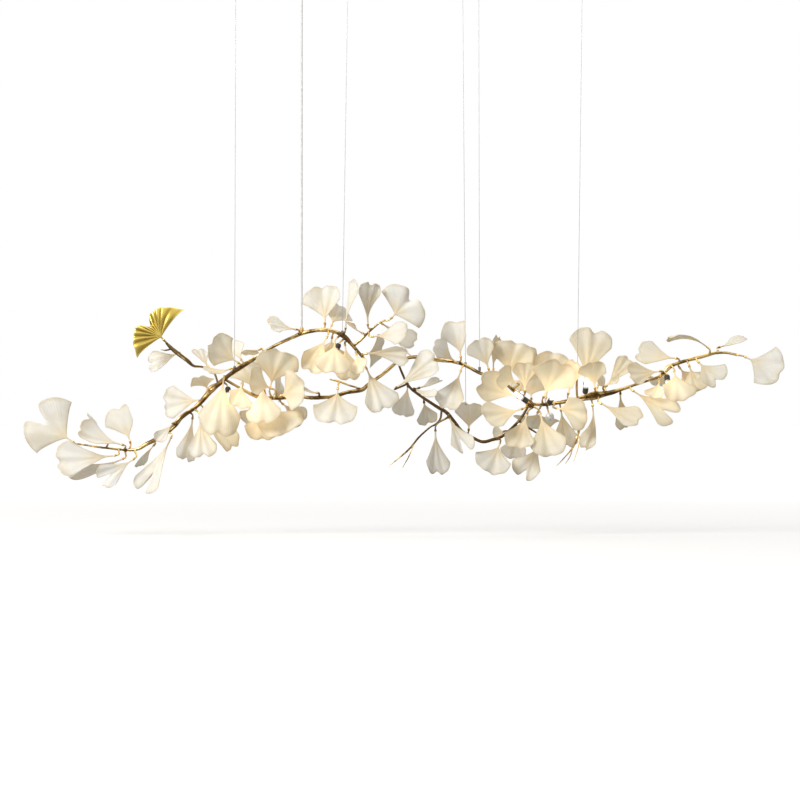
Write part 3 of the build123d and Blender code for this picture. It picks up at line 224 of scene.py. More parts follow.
# Leaves: stem end, middle of the outer edge, side that the hollow faces, width over the fan,
# then bend along the leaf, cupping across it, twist (degrees) and depth of the notch
LEAVES = {
    "left_tip_leaves": [
        ((-815, -8, -106), (-918, -30, -30), (0.2, -1, 0.1), 174, 20, 25, 0, 0.42),
        ((-690, -24, -112), (-800, -58, -72), (0.1, -0.8, 0.5), 84, 25, 50, 0, 0.05),
        ((-675, 8, -106), (-708, 8, -16), (-0.3, -1, 0.2), 104, 15, 45, 20, 0.09),
        ((-708, -30, -138), (-852, -68, -148), (0, -1, 0.3), 96, 20, 45, 0, 0.07),
        ((-690, -2, -146), (-830, -22, -188), (0, -0.8, 0.6), 60, 25, 50, 0, 0.07),
        ((-662, -28, -146), (-750, -50, -204), (0, -1, 0), 74, 15, 25, 0, 0.4),
        ((-735, 22, -98), (-785, 45, -32), (0.75, 0, 0.65), 64, 20, 30, 0, 0.07),
    ],
    "left_lower_leaves": [
        ((-570, -20, -92), (-645, -45, -230), (-0.5, -0.85, 0), 80, 15, 40, 0, 0.45),
        ((-615, 16, -112), (-660, 55, -170), (0.6, -0.5, 0.5), 50, 20, 30, 0, 0.07),
        ((-500, -18, -40), (-488, -52, -142), (0, -1, 0.1), 76, 15, 30, 0, 0.1),
        ((-520, 22, -44), (-542, 62, -155), (-0.3, -1, 0), 64, 15, 25, 0, 0.09),
        ((-565, -28, -58), (-606, -66, -102), (0.3, -0.8, 0.5), 44, 25, 45, 0, 0.05),
        ((-500, 24, 0), (-600, 88, -8), (0, -1, 0.1), 92, 15, 25, 0, 0.09),
        ((-492, 24, -22), (-416, 20, -124), (0, -0.7, 0.8), 84, 25, 50, 0, 0.07),
    ],
    "left_upper_leaves": [
        ((-402, -10, 92), (-474, -48, 146), (0.3, -0.9, 0.3), 106, 20, 35, 10, 0.09),
        ((-398, 34, 100), (-424, 92, 148), (0, -0.8, 0.6), 56, 20, 35, 0, 0.07),
        ((-421, -20, 78), (-480, -84, 70), (0, -0.6, 0.8), 58, 20, 40, 0, 0.07),
        ((-478, -22, 26), (-500, -84, 60), (-0.2, -1, 0), 76, 20, 30, 0, 0.07),
        ((-480, 16, 84), (-510, 58, 130), (0.4, -0.6, 0.6), 50, 20, 35, 0, 0.07),
        ((-350, 34, 128), (-390, 66, 118), (0, 0.2, 1), 58, 20, 35, 0, 0.07),
        ((-555, 22, 118), (-635, 82, 90), (0, -1, 0.2), 64, 15, 30, 0, 0.09),
    ],
    "left_lamp_leaves": [
        ((-439, -36, 54), (-452, -80, -90), (0, 0.8, 0.6), 132, 25, 40, 0, 0.05),
        ((-318, -28, 28), (-372, -84, 54), (0, -0.9, 0.3), 80, 20, 45, 0, 0.05),
        ((-394, -10, 42), (-402, -70, -14), (0.3, -0.9, 0.2), 78, 20, 40, 0, 0.05),
        ((-342, -16, 36), (-338, -76, -60), (0, 0.8, 0.6), 100, 25, 40, 0, 0.05),
        ((-325, 0, 30), (-298, -38, 124), (0, -0.9, -0.3), 120, 25, 35, 0, 0.07),
        ((-300, -12, 10), (-246, -64, 32), (0, -1, 0.2), 116, 25, 40, 0, 0.07),
        ((-325, 4, -14), (-284, -56, -82), (0, -0.8, 0.5), 136, 25, 40, 0, 0.07),
        ((-352, 14, -14), (-342, -14, -98), (0, -0.6, 0.8), 96, 25, 45, 0, 0.07),
        ((-296, 32, -8), (-240, 62, -54), (0, -1, 0.3), 66, 15, 30, 0, 0.07),
        ((-368, 40, 26), (-394, 84, 98), (0, -0.8, 0.6), 96, 20, 35, 0, 0.07),
        ((-322, 44, 8), (-300, 130, 52), (0, 0.9, 0.4), 110, 25, 40, 0, 0.07),
        ((-352, 52, -4), (-366, 128, -62), (0, 0.9, 0.4), 104, 25, 40, 0, 0.07),
    ],
    "arch_leaves": [
        ((-258, -10, 176), (-326, -46, 196), (0, -0.6, 0.8), 68, 20, 40, 0, 0.07),
        ((-188, 22, 190), (-196, 44, 290), (-0.2, -1, 0.1), 114, 20, 30, 0, 0.1),
        ((-136, -12, 178), (-114, 0, 300), (0.95, 0.25, -0.2), 92, 15, 35, 0, 0.07),
        ((-80, -26, 186), (-72, -52, 294), (0.8, -0.6, 0), 70, 20, 35, 30, 0.07),
        ((-92, -22, 166), (-134, -72, 196), (0, -0.5, 0.9), 44, 20, 40, 0, 0.05),
        ((-205, -18, 18), (-238, -56, 26), (0, -0.6, 0.8), 28, 20, 40, 0, 0.03),
        ((-172, 22, 186), (-154, 92, 244), (0, 0.9, 0.3), 104, 25, 35, 0, 0.09),
    ],
    "middle_lamp_leaves": [
        ((-162, -38, 142), (-168, -70, 64), (0, 0.7, 0.5), 106, 25, 45, 0, 0.05),
        ((-110, -14, 116), (-98, -42, 68), (-0.5, -0.3, 0.5), 66, 20, 40, 0, 0.05),
        ((-182, -8, 158), (-232, -24, 70), (0.2, -1, 0.2), 90, 20, 35, 0, 0.07),
        ((-138, 18, 140), (-126, 14, 48), (0, -1, 0.3), 76, 20, 40, 0, 0.07),
        ((-170, 20, 158), (-182, 82, 96), (0, 0.8, 0.5), 98, 25, 40, 0, 0.07),
    ],
    "centre_leaves": [
        ((-22, -16, 204), (34, -40, 262), (0, -1, 0.1), 144, 20, 25, 0, 0.4),
        ((-46, 10, 192), (40, 26, 142), (0.6, -0.7, 0), 62, 20, 35, 0, 0.07),
        ((-70, -28, 158), (16, -66, 172), (0, -0.8, 0.6), 74, 20, 40, 0, 0.07),
        ((-86, -20, 116), (22, -62, 110), (0, -0.8, -0.4), 68, 20, 40, 0, 0.07),
        ((-10, -24, 30), (88, -68, 104), (0, -1, 0.2), 80, 15, 35, 15, 0.07),
        ((152, -12, 106), (138, -22, 198), (-0.3, -1, 0.2), 94, 15, 100, 0, 0.07),
        ((140, -14, 94), (88, -52, 140), (0, -0.8, 0.5), 60, 20, 50, 0, 0.07),
        ((128, 36, 100), (88, 74, 102), (0, -0.5, 0.85), 48, 20, 30, 0, 0.07),
        ((152, -14, 74), (114, -52, -26), (-0.2, -1, 0), 92, 20, 35, 0, 0.09),
        ((-84, -4, 80), (-38, -52, -24), (0.1, -1, 0.1), 92, 15, 30, 0, 0.1),
        ((-155, -28, 30), (-162, -58, -62), (0, -1, 0), 124, 15, 25, 0, 0.1),
        ((-86, 30, 116), (-40, 96, 132), (0, 0.9, 0.4), 108, 25, 35, 0, 0.09),
        ((30, 40, 110), (10, 120, 140), (0, 0.8, 0.5), 102, 25, 35, 0, 0.09),
    ],
    "cascade_leaves": [
        ((38, -18, 28), (86, -66, 8), (0, -0.7, 0.7), 50, 20, 45, 0, 0.05),
        ((46, 16, 30), (102, 44, 54), (0, -0.4, 0.9), 48, 20, 35, 0, 0.07),
        ((122, -22, -42), (168, -56, -130), (0.4, -0.9, 0), 76, 15, 35, 0, 0.5),
        ((88, -36, -74), (96, -62, -184), (0.5, -0.85, 0), 76, 15, 40, 0, 0.07),
        ((60, 20, -4), (72, 62, -62), (0.2, -1, 0), 64, 20, 30, 0, 0.07),
        ((20, 24, 36), (6, 66, -44), (0, -1, 0), 60, 20, 30, 0, 0.07),
        ((172, 14, -76), (176, 52, -4), (0, -1, 0.2), 86, 20, 30, 0, 0.09),
    ],
    "flower_upper_leaves": [
        ((222, -8, 76), (194, -28, 152), (-0.2, -1, 0.2), 80, 20, 40, 0, 0.1),
        ((234, 20, 76), (244, 34, 164), (0.95, -0.3, 0), 102, 15, 35, 0, 0.07),
        ((270, 6, 56), (290, -18, 144), (0, -1, 0.2), 116, 20, 35, 0, 0.07),
        ((300, 34, 24), (352, 84, 124), (0.3, -1, 0), 104, 20, 30, 0, 0.07),
        ((312, -8, 20), (310, -44, 96), (0, -1, -0.2), 68, 25, 40, 0, 0.05),
        ((294, -8, 42), (244, -48, 64), (0, -1, 0.1), 70, 20, 40, 0, 0.05),
        ((296, -6, 6), (194, -30, 46), (0.2, -1, 0), 96, 20, 40, 0, 0.07),
        ((358, -2, 6), (402, -50, 94), (0, -0.9, -0.4), 128, 20, 40, 0, 0.07),
        ((366, 38, 4), (390, 62, 124), (0, -1, 0), 104, 20, 30, 0, 0.07),
        ((420, -4, 14), (436, -30, 100), (-0.4, -0.9, 0), 64, 20, 35, 0, 0.05),
        ((330, 36, 2), (330, 122, 62), (0, 0.9, 0.3), 128, 25, 40, 0, 0.07),
    ],
    "flower_lower_leaves": [
        ((306, -6, -22), (208, -70, -40), (0, -0.8, 0.6), 90, 20, 40, 0, 0.07),
        ((318, -8, -34), (286, -62, -122), (-0.1, -1, 0.2), 90, 20, 35, 0, 0.07),
        ((350, -2, -32), (376, -68, -138), (0, -1, 0.2), 106, 20, 35, 0, 0.07),
        ((388, -6, -20), (464, -60, -38), (0.2, -0.8, -0.4), 112, 20, 40, 0, 0.07),
        ((262, 28, -78), (234, 46, -90), (0, -1, 0.3), 48, 20, 30, 0, 0.05),
        ((250, -14, -106), (220, -52, -180), (0, -1, 0.1), 104, 15, 30, 0, 0.05),
        ((294, 28, -72), (286, 36, -150), (0, -1, 0.2), 72, 20, 35, 0, 0.07),
        ((352, 12, -110), (304, -12, -194), (0, -1, 0.3), 84, 15, 30, 0, 0.25),
        ((404, 36, -24), (422, 68, -122), (0, -1, 0.1), 76, 20, 40, 0, 0.07),
        ((346, 38, -30), (340, 126, -62), (0, 0.9, 0.4), 128, 25, 40, 0, 0.07),
    ],
    "lily_leaves": [
        ((462, 24, 40), (490, 50, 182), (0, -1, 0.1), 112, 20, 30, 0, 0.1),
        ((486, -22, 28), (476, -80, 96), (0, -0.8, -0.4), 84, 20, 40, 0, 0.05),
        ((510, -16, 34), (542, -48, 60), (0, -0.8, 0.5), 32, 20, 35, 0, 0.03),
        ((516, 18, 34), (576, 28, 106), (0, -1, 0.3), 58, 20, 45, 0, 0.07),
        ((494, 26, 30), (510, 108, 70), (0, 0.9, 0.3), 98, 25, 35, 0, 0.07),
    ],
    "right_lower_leaves": [
        ((580, -14, 24), (686, -52, -42), (0, -1, 0.2), 76, 15, 35, 0, 0.35),
        ((552, 16, 18), (566, 46, -74), (0.7, -0.7, 0), 70, 20, 35, 0, 0.07),
        ((500, -20, -8), (598, -62, -52), (0, -0.8, 0.6), 76, 20, 40, 0, 0.07),
        ((482, 14, -12), (460, 22, -126), (-0.9, -0.2, 0.3), 84, 45, 30, 20, 0.07),
    ],
    "right_lamp_leaves": [
        ((684, -14, 74), (694, -64, 2), (0, -0.6, 0.8), 96, 20, 40, 0, 0.05),
        ((722, -8, 86), (744, -30, 22), (0, -0.9, 0.4), 70, 20, 40, 0, 0.05),
        ((648, -8, 46), (630, -48, 4), (0, -0.6, 0.8), 60, 20, 40, 0, 0.05),
        ((700, 18, 82), (750, 22, 20), (0, -1, 0.2), 88, 20, 35, 0, 0.07),
        ((694, 14, 104), (594, 44, 122), (0, -0.9, 0.4), 78, 20, 35, 0, 0.07),
        ((650, -14, 72), (568, -54, 64), (0, -0.9, 0.3), 68, 20, 35, 0, 0.07),
        ((664, 22, 66), (652, 100, 36), (0, 0.9, 0.4), 106, 25, 40, 0, 0.07),
    ],
    "right_tip_leaves": [
        ((744, -10, 96), (794, -54, 44), (0, -0.9, 0.4), 92, 20, 40, 0, 0.2),
        ((770, -6, 130), (664, -28, 150), (0, -0.2, -1), 66, 70, 30, 0, 0.07),
        ((798, 14, 132), (866, 34, 160), (0, -0.3, 1), 64, 20, 35, 0, 0.07),
        ((862, -2, 108), (946, -58, 66), (0.2, -1, 0), 122, 20, 40, 0, 0.04),
    ],
}
GOLD_LEAF = ((-589, -8, 149), (-640, -26, 202), (0, -1, 0.2), 146, -10, 40, 0, 0.35)

# Lamps: back of the holder and the way the lamp points
LAMPS = [
    ((-430, -16, 32), (0.15, -0.35, -0.92)),
    ((-346, 2, -2), (-0.05, -0.4, -0.92)),
    ((-152, -12, 140), (-0.4, -0.35, -0.85)),
    ((318, -18, -4), (-0.8, -0.25, 0.54)),
    ((372, -10, -8), (0.35, -0.7, 0.62)),
    ((462, -12, 16), (0.1, -0.3, 0.95)),
    ((666, -16, 62), (0.05, -0.4, -0.9)),
]

# Wires: the branch end of each wire and the shift of its ceiling end along the spray
WIRES = [
    ((-414, 9.5, 71), 3),
    ((-144, 0, 160), 14),
    ((164, 15.5, 88), -7),
    ((199, 6, 69), -2),
    ((444, 0, 78), 12),
]
GRIP_WIRE = 2
CORD_FOOT = (-246, 10.3, 166)
BEAD_PLACE = (372, -48, -42)

# Each twig: its node, its centre line and whether leaves may stand on it
TWIGS = {
    "main": ("main_branch", MAIN, True),
    "centre": ("main_branch", CENTRE_TWIG, True),
    "lower": ("lower_branch", LOWER, True),
    "side": ("lower_branch", SIDE_TWIG, True),
    "cascade": ("cascade_branch", CASCADE, True),
    "right": ("right_branch", RIGHT, True),
    "post": ("right_branch", WIRE_POST, False),
    "gold": ("gold_twig", GOLD_TWIG, True),
    "gold_spur": ("gold_twig", GOLD_SPUR, False),
    "bare_left": ("bare_twig_left", BARE_LEFT, False),
    "bare_left_spur": ("bare_twig_left", BARE_LEFT_SPUR, False),
    "bare_right": ("bare_twig_right", BARE_RIGHT, False),
    "bare_right_spur_1": ("bare_twig_right", BARE_RIGHT_SPURS[0], False),
    "bare_right_spur_2": ("bare_twig_right", BARE_RIGHT_SPURS[1], False),
}
STALK_NODES = {
    "main_branch": "main_stalks",
    "lower_branch": "lower_stalks",
    "cascade_branch": "cascade_stalks",
    "right_branch": "right_stalks",
    "gold_twig": "gold_stalks",
}

COLOUR = {"subtype": "COLOR", "min": 0, "max": 1}


class ChandelierSettings(bpy.types.PropertyGroup):
    """Sizes and colours of the chandelier's finish."""

    wall: FloatProperty(
        name="Leaf thickness", description="Porcelain thickness in the middle of a leaf",
        default=0.0019, unit="LENGTH")
    stem: FloatProperty(
        name="Stem thickness", description="Porcelain thickness where a stem enters its collar",
        default=0.0034, unit="LENGTH")
    wave: FloatProperty(
        name="Leaf wave", description="Height of the leaves' waves as a share of their width",
        default=0.065, subtype="FACTOR")
    scallop: FloatProperty(
        name="Leaf scallop", description="Depth of the wavy edge as a share of the leaf's length",
        default=0.022, subtype="FACTOR")
    grain: FloatProperty(
        name="Casting grain", description="Size of the smallest form on the twigs",
        default=0.0011, unit="LENGTH")
    bark: FloatProperty(
        name="Bark height", description="Height of the rough bark on the twigs",
        default=0.0009, unit="LENGTH")
    porcelain: FloatVectorProperty(
        name="Porcelain", description="Colour of the bisque porcelain",
        default=(0.95, 0.91, 0.84), **COLOUR)
    # Painted brass reflection and shade at the foot of each leaf
    painted_foot_reflection_and_shade: FloatVectorProperty(
        name="Porcelain stem", description="Warmer colour at the foot of each leaf",
        default=(0.86, 0.75, 0.56), **COLOUR)
    brass: FloatVectorProperty(
        name="Brass", description="Colour of the bright brass",
        default=(0.88, 0.62, 0.25), **COLOUR)
    patina: FloatVectorProperty(
        name="Patina", description="Colour of the dark brass in the hollows",
        default=(0.13, 0.075, 0.026), **COLOUR)
    gold: FloatVectorProperty(
        name="Gold", description="Colour of the polished leaf",
        default=(1.0, 0.79, 0.20), **COLOUR)
    gold_shade: FloatVectorProperty(
        name="Gold shade", description="Colour between the ribs of the polished leaf",
        default=(0.30, 0.17, 0.015), **COLOUR)
    glow: FloatVectorProperty(
        name="Lamp glow", description="Colour of the lit lamps",
        default=(1.0, 0.80, 0.50), **COLOUR)
    glow_strength: FloatProperty(
        name="Lamp strength", description="Brightness of the lit lamps", default=4.5, min=0)
    # Painted lamp glow in the leaves: how far it reaches from each lamp and how bright it is
    painted_glow_reach: FloatProperty(
        name="Lamp soak", description="How far a lamp's light soaks into the leaves around it",
        default=0.055, unit="LENGTH")
    painted_glow_strength: FloatProperty(
        name="Soak strength", description="Brightness of the lamplight in the leaves",
        default=0.6, min=0)
    steel: FloatVectorProperty(
        name="Wire steel", description="Colour of the wires",
        default=(0.46, 0.46, 0.47), **COLOUR)
    clear_cord: FloatVectorProperty(
        name="Clear cord", description="Colour of the clear power cord",
        default=(0.95, 0.95, 0.96), **COLOUR)
    floor: FloatVectorProperty(
        name="Floor", description="Colour of the studio floor", default=(0.5, 0.5, 0.5), **COLOUR)


def settings():
    return bpy.context.scene.chandelier


def at(point):
    """A point of the spray in the row frame, in metres."""
    x, y, z = point[:3]
    return Vector(((x + SPRAY_X) * MM, (y + SPRAY_Y) * MM, (z - SPRAY_DROP) * MM))


def deselect():
    if bpy.context.object and bpy.context.object.mode != "OBJECT":
        bpy.ops.object.mode_set(mode="OBJECT")
    bpy.ops.object.select_all(action="DESELECT")


def make_active(objects):
    deselect()
    for obj in objects:
        obj.select_set(True)
    bpy.context.view_layer.objects.active = objects[0]


def linked(name, data):
    """A new object in the scene."""
    made = bpy.data.objects.new(name, data)
    bpy.context.collection.objects.link(made)
    return made


def own_copy(model):
    """A copy of a piece with its own mesh."""
    piece = model.copy()
    piece.data = model.data.copy()
    bpy.context.collection.objects.link(piece)
    return piece


def joined(objects, name):
    make_active(objects)
    if len(objects) > 1:
        bpy.ops.object.join()
    piece = bpy.context.object
    piece.name = name
    piece.data.name = name
    return piece


def apply_modifier(piece, kind, name, **values):
    make_active([piece])
    modifier = piece.modifiers.new(name, kind)
    for key, value in values.items():
        setattr(modifier, key, value)
    bpy.ops.object.modifier_apply(modifier=name)


def vertex_places(piece):
    places = np.empty(len(piece.data.vertices) * 3)
    piece.data.vertices.foreach_get("co", places)
    return places.reshape(-1, 3)


def round_curve(name, radius, resolution):
    """An empty curve that is drawn as a closed round bar."""
    curve = bpy.data.curves.new(name, "CURVE")
    curve.dimensions = "3D"
    curve.bevel_depth = radius
    curve.bevel_resolution = resolution
    curve.use_fill_caps = True
    return curve


def placed(piece, body, slot, material, *nodes):
    """Makes a finished piece ride on its body and stand for its nodes."""
    piece.data.materials.clear()
    piece.data.materials.append(material)
    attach(piece, body)
    if nodes:
        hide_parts(*nodes)


# Materials

def new_material(name):
    """A material with its node tree and its Principled shader."""
    material = bpy.data.materials.new(name)
    material.use_nodes = True
    tree = material.node_tree
    return material, tree, tree.nodes["Principled BSDF"]


def feed(tree, target, inputs):
    """Links sockets to a node's inputs, and sets plain values on the others."""
    for key, value in inputs.items():
        if isinstance(value, bpy.types.NodeSocket):
            tree.links.new(value, target.inputs[key])
        else:
            target.inputs[key].default_value = value


def node(tree, kind, inputs=None, **values):
    """A new node with its own values and what feeds it."""
    made = tree.nodes.new(kind)
    for key, value in values.items():
        setattr(made, key, value)
    feed(tree, made, inputs or {})
    return made


def sums(tree, operation, first, second=0.0):
    """A Math node on two sockets or numbers."""
    return node(tree, "ShaderNodeMath", {0: first, 1: second}, operation=operation).outputs[0]


def scaled(tree, value, size, start):
    """A socket's value times a size, added to a start."""
    return sums(tree, "ADD", sums(tree, "MULTIPLY", value, size), start)


def fade(tree, value, low, high):
    """A smooth step from 0 at the low value to 1 at the high one."""
    made = node(tree, "ShaderNodeMapRange", {"Value": value, "From Min": low, "From Max": high},
                interpolation_type="SMOOTHSTEP")
    return made.outputs[0]


def rgba(colour):
    return colour if isinstance(colour, bpy.types.NodeSocket) else (*colour, 1)


def darker(colour, share):
    return tuple(c * share for c in colour)


def blend(tree, share, low, high, blend_type="MIX"):
    """A colour between two colours or sockets, by a socket's value."""
    made = node(tree, "ShaderNodeMix", {"Factor": share, 6: rgba(low), 7: rgba(high)},
                data_type="RGBA", blend_type=blend_type)
    return made.outputs[2]


def tinted(tree, share, base, tint):
    """A colour socket multiplied by a tint, by a socket's value."""
    return blend(tree, share, base, tint, "MULTIPLY")


def bump(tree, shader, height, strength, distance):
    made = node(tree, "ShaderNodeBump",
                {"Height": height, "Strength": strength, "Distance": distance})
    feed(tree, shader, {"Normal": made.outputs[0]})


def object_noise(tree, **inputs):
    place = node(tree, "ShaderNodeTexCoord").outputs["Object"]
    return node(tree, "ShaderNodeTexNoise", {"Vector": place, **inputs}).outputs[0]


def new_group(name, inputs, outputs):
    """An empty node group with number inputs, by name and default, and number outputs."""
    group = bpy.data.node_groups.new(name, "ShaderNodeTree")
    for label, default in inputs.items():
        socket = group.interface.new_socket(label, in_out="INPUT", socket_type="NodeSocketFloat")
        socket.default_value = default
    for label in outputs:
        group.interface.new_socket(label, in_out="OUTPUT", socket_type="NodeSocketFloat")
    return group, group.nodes.new("NodeGroupInput"), group.nodes.new("NodeGroupOutput")


def mottle_group():
    """Slow and fine variation over a surface, as values from 0 to 1."""
    group, start, end = new_group("Mottle", {"Scale": 20.0, "Fine scale": 200.0}, ("Value", "Fine"))
    for label, target in (("Scale", "Value"), ("Fine scale", "Fine")):
        feed(group, end, {target: object_noise(group, Scale=start.outputs[label], Detail=3)})
    return group


def mottle(tree, scale, fine):
    group = bpy.data.node_groups.get("Mottle") or mottle_group()
    made = node(tree, "ShaderNodeGroup", {"Scale": scale, "Fine scale": fine}, node_tree=group)
    return made.outputs["Value"], made.outputs["Fine"]


def rib_group():
    """Ribs that fan out from a leaf's foot: height, how far along the leaf, and its rim."""
    group, start, end = new_group("Leaf ribs", {"Count": 30.0}, ("Height", "Along", "Rim"))
    uv = node(group, "ShaderNodeUVMap", uv_map="UVMap").outputs[0]
    across, along, _ = node(group, "ShaderNodeSeparateXYZ", {0: uv}).outputs
    wander = sums(group, "MULTIPLY", object_noise(group, Scale=RIB_WANDER_SCALE), RIB_WANDER)
    turns = sums(group, "ADD", sums(group, "MULTIPLY", across, start.outputs["Count"]), wander)
    wave = sums(group, "SINE", sums(group, "MULTIPLY", turns, 2 * math.pi))
    edge = sums(group, "ABSOLUTE", scaled(group, across, 2, -1))
    edge = sums(group, "MAXIMUM", edge, along)
    feed(group, end, {"Height": sums(group, "MULTIPLY", wave, along), "Along": along,
                      "Rim": fade(group, edge, RIM_START, 1.0)})
    return group


def ribs(tree, count):
    group = bpy.data.node_groups.get("Leaf ribs") or rib_group()
    made = node(tree, "ShaderNodeGroup", {"Count": count}, node_tree=group)
    return made.outputs["Height"], made.outputs["Along"], made.outputs["Rim"]


def porcelain_material():
    """Unglazed porcelain that lets light through, with fine ribs, painted brass reflection and
    shade at the foot, painted shade along the rim and a painted lamp glow near the lamps.
    """
    chosen = settings()
    material, tree, shader = new_material("bisque_porcelain")
    height, along, rim = ribs(tree, RIB_COUNT)
    slow, fine = mottle(tree, scale=16, fine=260)
    # Painted lamp glow, kept in a colour attribute on the leaves
    lit = node(tree, "ShaderNodeVertexColor", layer_name="lamplight")
    foot = fade(tree, along, *FOOT_FADE)
    cloud = sums(tree, "MULTIPLY", fade(tree, slow, *CLOUD_SPREAD), CLOUD_SHARE)
    # Painted brass reflection and shade at each leaf's foot
    body = blend(tree, foot, chosen.painted_foot_reflection_and_shade, chosen.porcelain)
    body = tinted(tree, cloud, body, CLOUD_TINT)
    # Painted shade along the rim
    body = tinted(tree, sums(tree, "MULTIPLY", rim, RIM_SHADE_SHARE), body, RIM_PAINTED_SHADE)
    # Painted lamplight near each lamp: a warm tint here, and a painted glow in the emission below
    body = tinted(tree, lit.outputs["Alpha"], body, PAINTED_LAMPLIGHT_TINT)
    feed(tree, shader, {
        "Base Color": body, "Roughness": scaled(tree, fine, 0.12, 0.40), "Specular IOR Level": 0.35,
        "Subsurface Weight": 0.5, "Subsurface Radius": (1.0, 0.8, 0.5), "Subsurface Scale": 0.004,
        "Emission Color": lit.outputs["Color"], "Emission Strength": 1.0})
    grain = sums(tree, "ADD", height, sums(tree, "MULTIPLY", fine, 0.06))
    bump(tree, shader, grain, strength=0.22, distance=0.0006)
    return material


def brass_material(name, bright, dark, share, rough, speckle=0.9):
    """Cast brass: bright on the ridges, dark in the hollows."""
    material, tree, shader = new_material(name)
    slow, fine = mottle(tree, scale=30, fine=420)
    hollows = node(tree, "ShaderNodeVertexColor", layer_name="hollows").outputs[0]
    ridge = sums(tree, "ADD", hollows, scaled(tree, slow, speckle, -0.5 * speckle))
    worn = fade(tree, ridge, share - WEAR_SPREAD, share + WEAR_SPREAD)
    feed(tree, shader, {
        "Base Color": blend(tree, worn, dark, bright), "Metallic": 1.0,
        "Roughness": scaled(tree, worn, -WEAR_SHINE, rough + WEAR_SHINE)})
    bump(tree, shader, fine, strength=0.3 * speckle, distance=0.0004)
    return material


def mottled_material(name, scales, spread, colours, rough, grain):
    """A material between two colours, with a grain in its roughness, and what its nodes put out."""
    material, tree, shader = new_material(name)
    slow, fine = mottle(tree, *scales)
    tone = blend(tree, fade(tree, slow, *spread), *colours)
    feed(tree, shader, {"Base Color": tone, "Roughness": scaled(tree, fine, grain, rough)})
    return material, tree, shader, tone, fine


def turned_metal_material(name, colour, rough):
    """Turned or drawn metal with fine marks."""
    material, tree, shader, _, fine = mottled_material(
        name, (40, 900), (0.35, 0.7), (darker(colour, 0.82), colour), rough, grain=0.15)
    feed(tree, shader, {"Metallic": 1.0})
    bump(tree, shader, fine, strength=0.15, distance=0.0002)
    return material


def ceramic_material(name, colour, rough):
    """Dull ceramic or plastic."""
    material, tree, shader, _, fine = mottled_material(
        name, (90, 800), (0.3, 0.7), (darker(colour, 0.8), colour), rough, grain=0.2)
    bump(tree, shader, fine, strength=0.2, distance=0.0002)
    return material


def glow_material():
    """Frosted lamp glass, lit from inside."""
    chosen = settings()
    material, tree, shader, light, _ = mottled_material(
        "lit_lamp_glass", (120, 900), (0.3, 0.7), (darker(chosen.glow, 0.92), chosen.glow), 0.35,
        grain=0.1)
    feed(tree, shader, {"Emission Color": light, "Emission Strength": chosen.glow_strength})
    return material


def bead_material():
    """Pearly glass bead with a soft coat."""
    material, tree, shader, _, _ = mottled_material(
        "pearl_bead", (160, 900), (0.35, 0.65), ((0.55, 0.53, 0.50), (0.88, 0.86, 0.82)), 0.12,
        grain=0.1)
    feed(tree, shader, {"Coat Weight": 0.8, "Coat Roughness": 0.05})
    return material


def floor_material():
    """A grey floor that the camera sees nearly white, with the shadow left on it."""
    material, tree, shader = new_material("studio_floor")
    tone = settings().floor
    grain = mottle(tree, scale=0.5, fine=30)[1]
    feed(tree, shader, {"Base Color": blend(tree, grain, darker(tone, 0.995), tone),
                        "Roughness": 0.9, "Specular IOR Level": 0.1})
    place = node(tree, "ShaderNodeTexCoord").outputs["Object"]
    reach = node(tree, "ShaderNodeVectorMath", {0: place}, operation="LENGTH").outputs["Value"]
    lift = scaled(tree, fade(tree, reach, *FLOOR_FADE), FLOOR_FAR_LIGHT, FLOOR_LIGHT)
    seen = node(tree, "ShaderNodeLightPath").outputs["Is Camera Ray"]
    white = node(tree, "ShaderNodeEmission", {"Strength": sums(tree, "MULTIPLY", seen, lift)})
    both = node(tree, "ShaderNodeAddShader", {0: shader.outputs[0], 1: white.outputs[0]})
    feed(tree, tree.nodes["Material Output"], {"Surface": both.outputs[0]})
    return material


# Leaves

def midline(bend):
    """Shares, points and headings of a unit leaf's middle line, from (0, 0) to (1, 0)."""
    shares = np.arange(MIDLINE_STEPS + 1) / MIDLINE_STEPS
    angles = bend * ((np.arange(MIDLINE_STEPS) + 0.5) / MIDLINE_STEPS) ** BEND_POWER
    x = np.concatenate([[0], np.cumsum(np.cos(angles))]) / MIDLINE_STEPS
    y = np.concatenate([[0], np.cumsum(np.sin(angles))]) / MIDLINE_STEPS
    tilt = math.atan2(y[-1], x[-1])
    size = math.hypot(x[-1], y[-1])
    u = (x * math.cos(tilt) + y * math.sin(tilt)) / size
    v = (y * math.cos(tilt) - x * math.sin(tilt)) / size
    return shares, u, v, bend * shares ** BEND_POWER - tilt


def leaf_frame(leaf):
    """Foot, chord length, and the unit vectors along, across and out of a leaf."""
    base = at(leaf[0])
    chord = at(leaf[1]) - base
    along = chord.normalized()
    face = Vector(leaf[2])
    out = (face - along * face.dot(along)).normalized()
    return base, chord.length, along, along.cross(out), out


def stem_direction(leaf):
    """The way a leaf's stem leaves its collar."""
    _, _, along, _, out = leaf_frame(leaf)
    heading = midline(math.radians(leaf[4]))[3][0]
    return (along * math.cos(heading) + out * math.sin(heading)).normalized()


def growth(share):
    """How far the fan has opened, from 0 on the stem to 1 at the outer edge."""
    return np.clip((share - STEM_SHARE) / (1 - STEM_SHARE), 0, 1)


def flat_leaf(columns, rows):
    """The grid that leaves are shaped from, with its wall thickness as weights."""
    deselect()
    bpy.ops.mesh.primitive_grid_add(x_subdivisions=columns, y_subdivisions=rows, size=2)
    grid = bpy.context.object
    chosen = settings()
    wall = grid.vertex_groups.new(name="wall")
    for vertex in grid.data.vertices:
        t = vertex.co.x
        grow = float(growth((vertex.co.y + 1) / 2))
        thick = chosen.wall + (chosen.stem - chosen.wall) * (1 - grow) ** STEM_TAPER
        edge = 1 - (1 - LEAF_EDGE_SHARE) * t * t
        wall.add([vertex.index], thick * edge / chosen.stem, "REPLACE")
    return grid


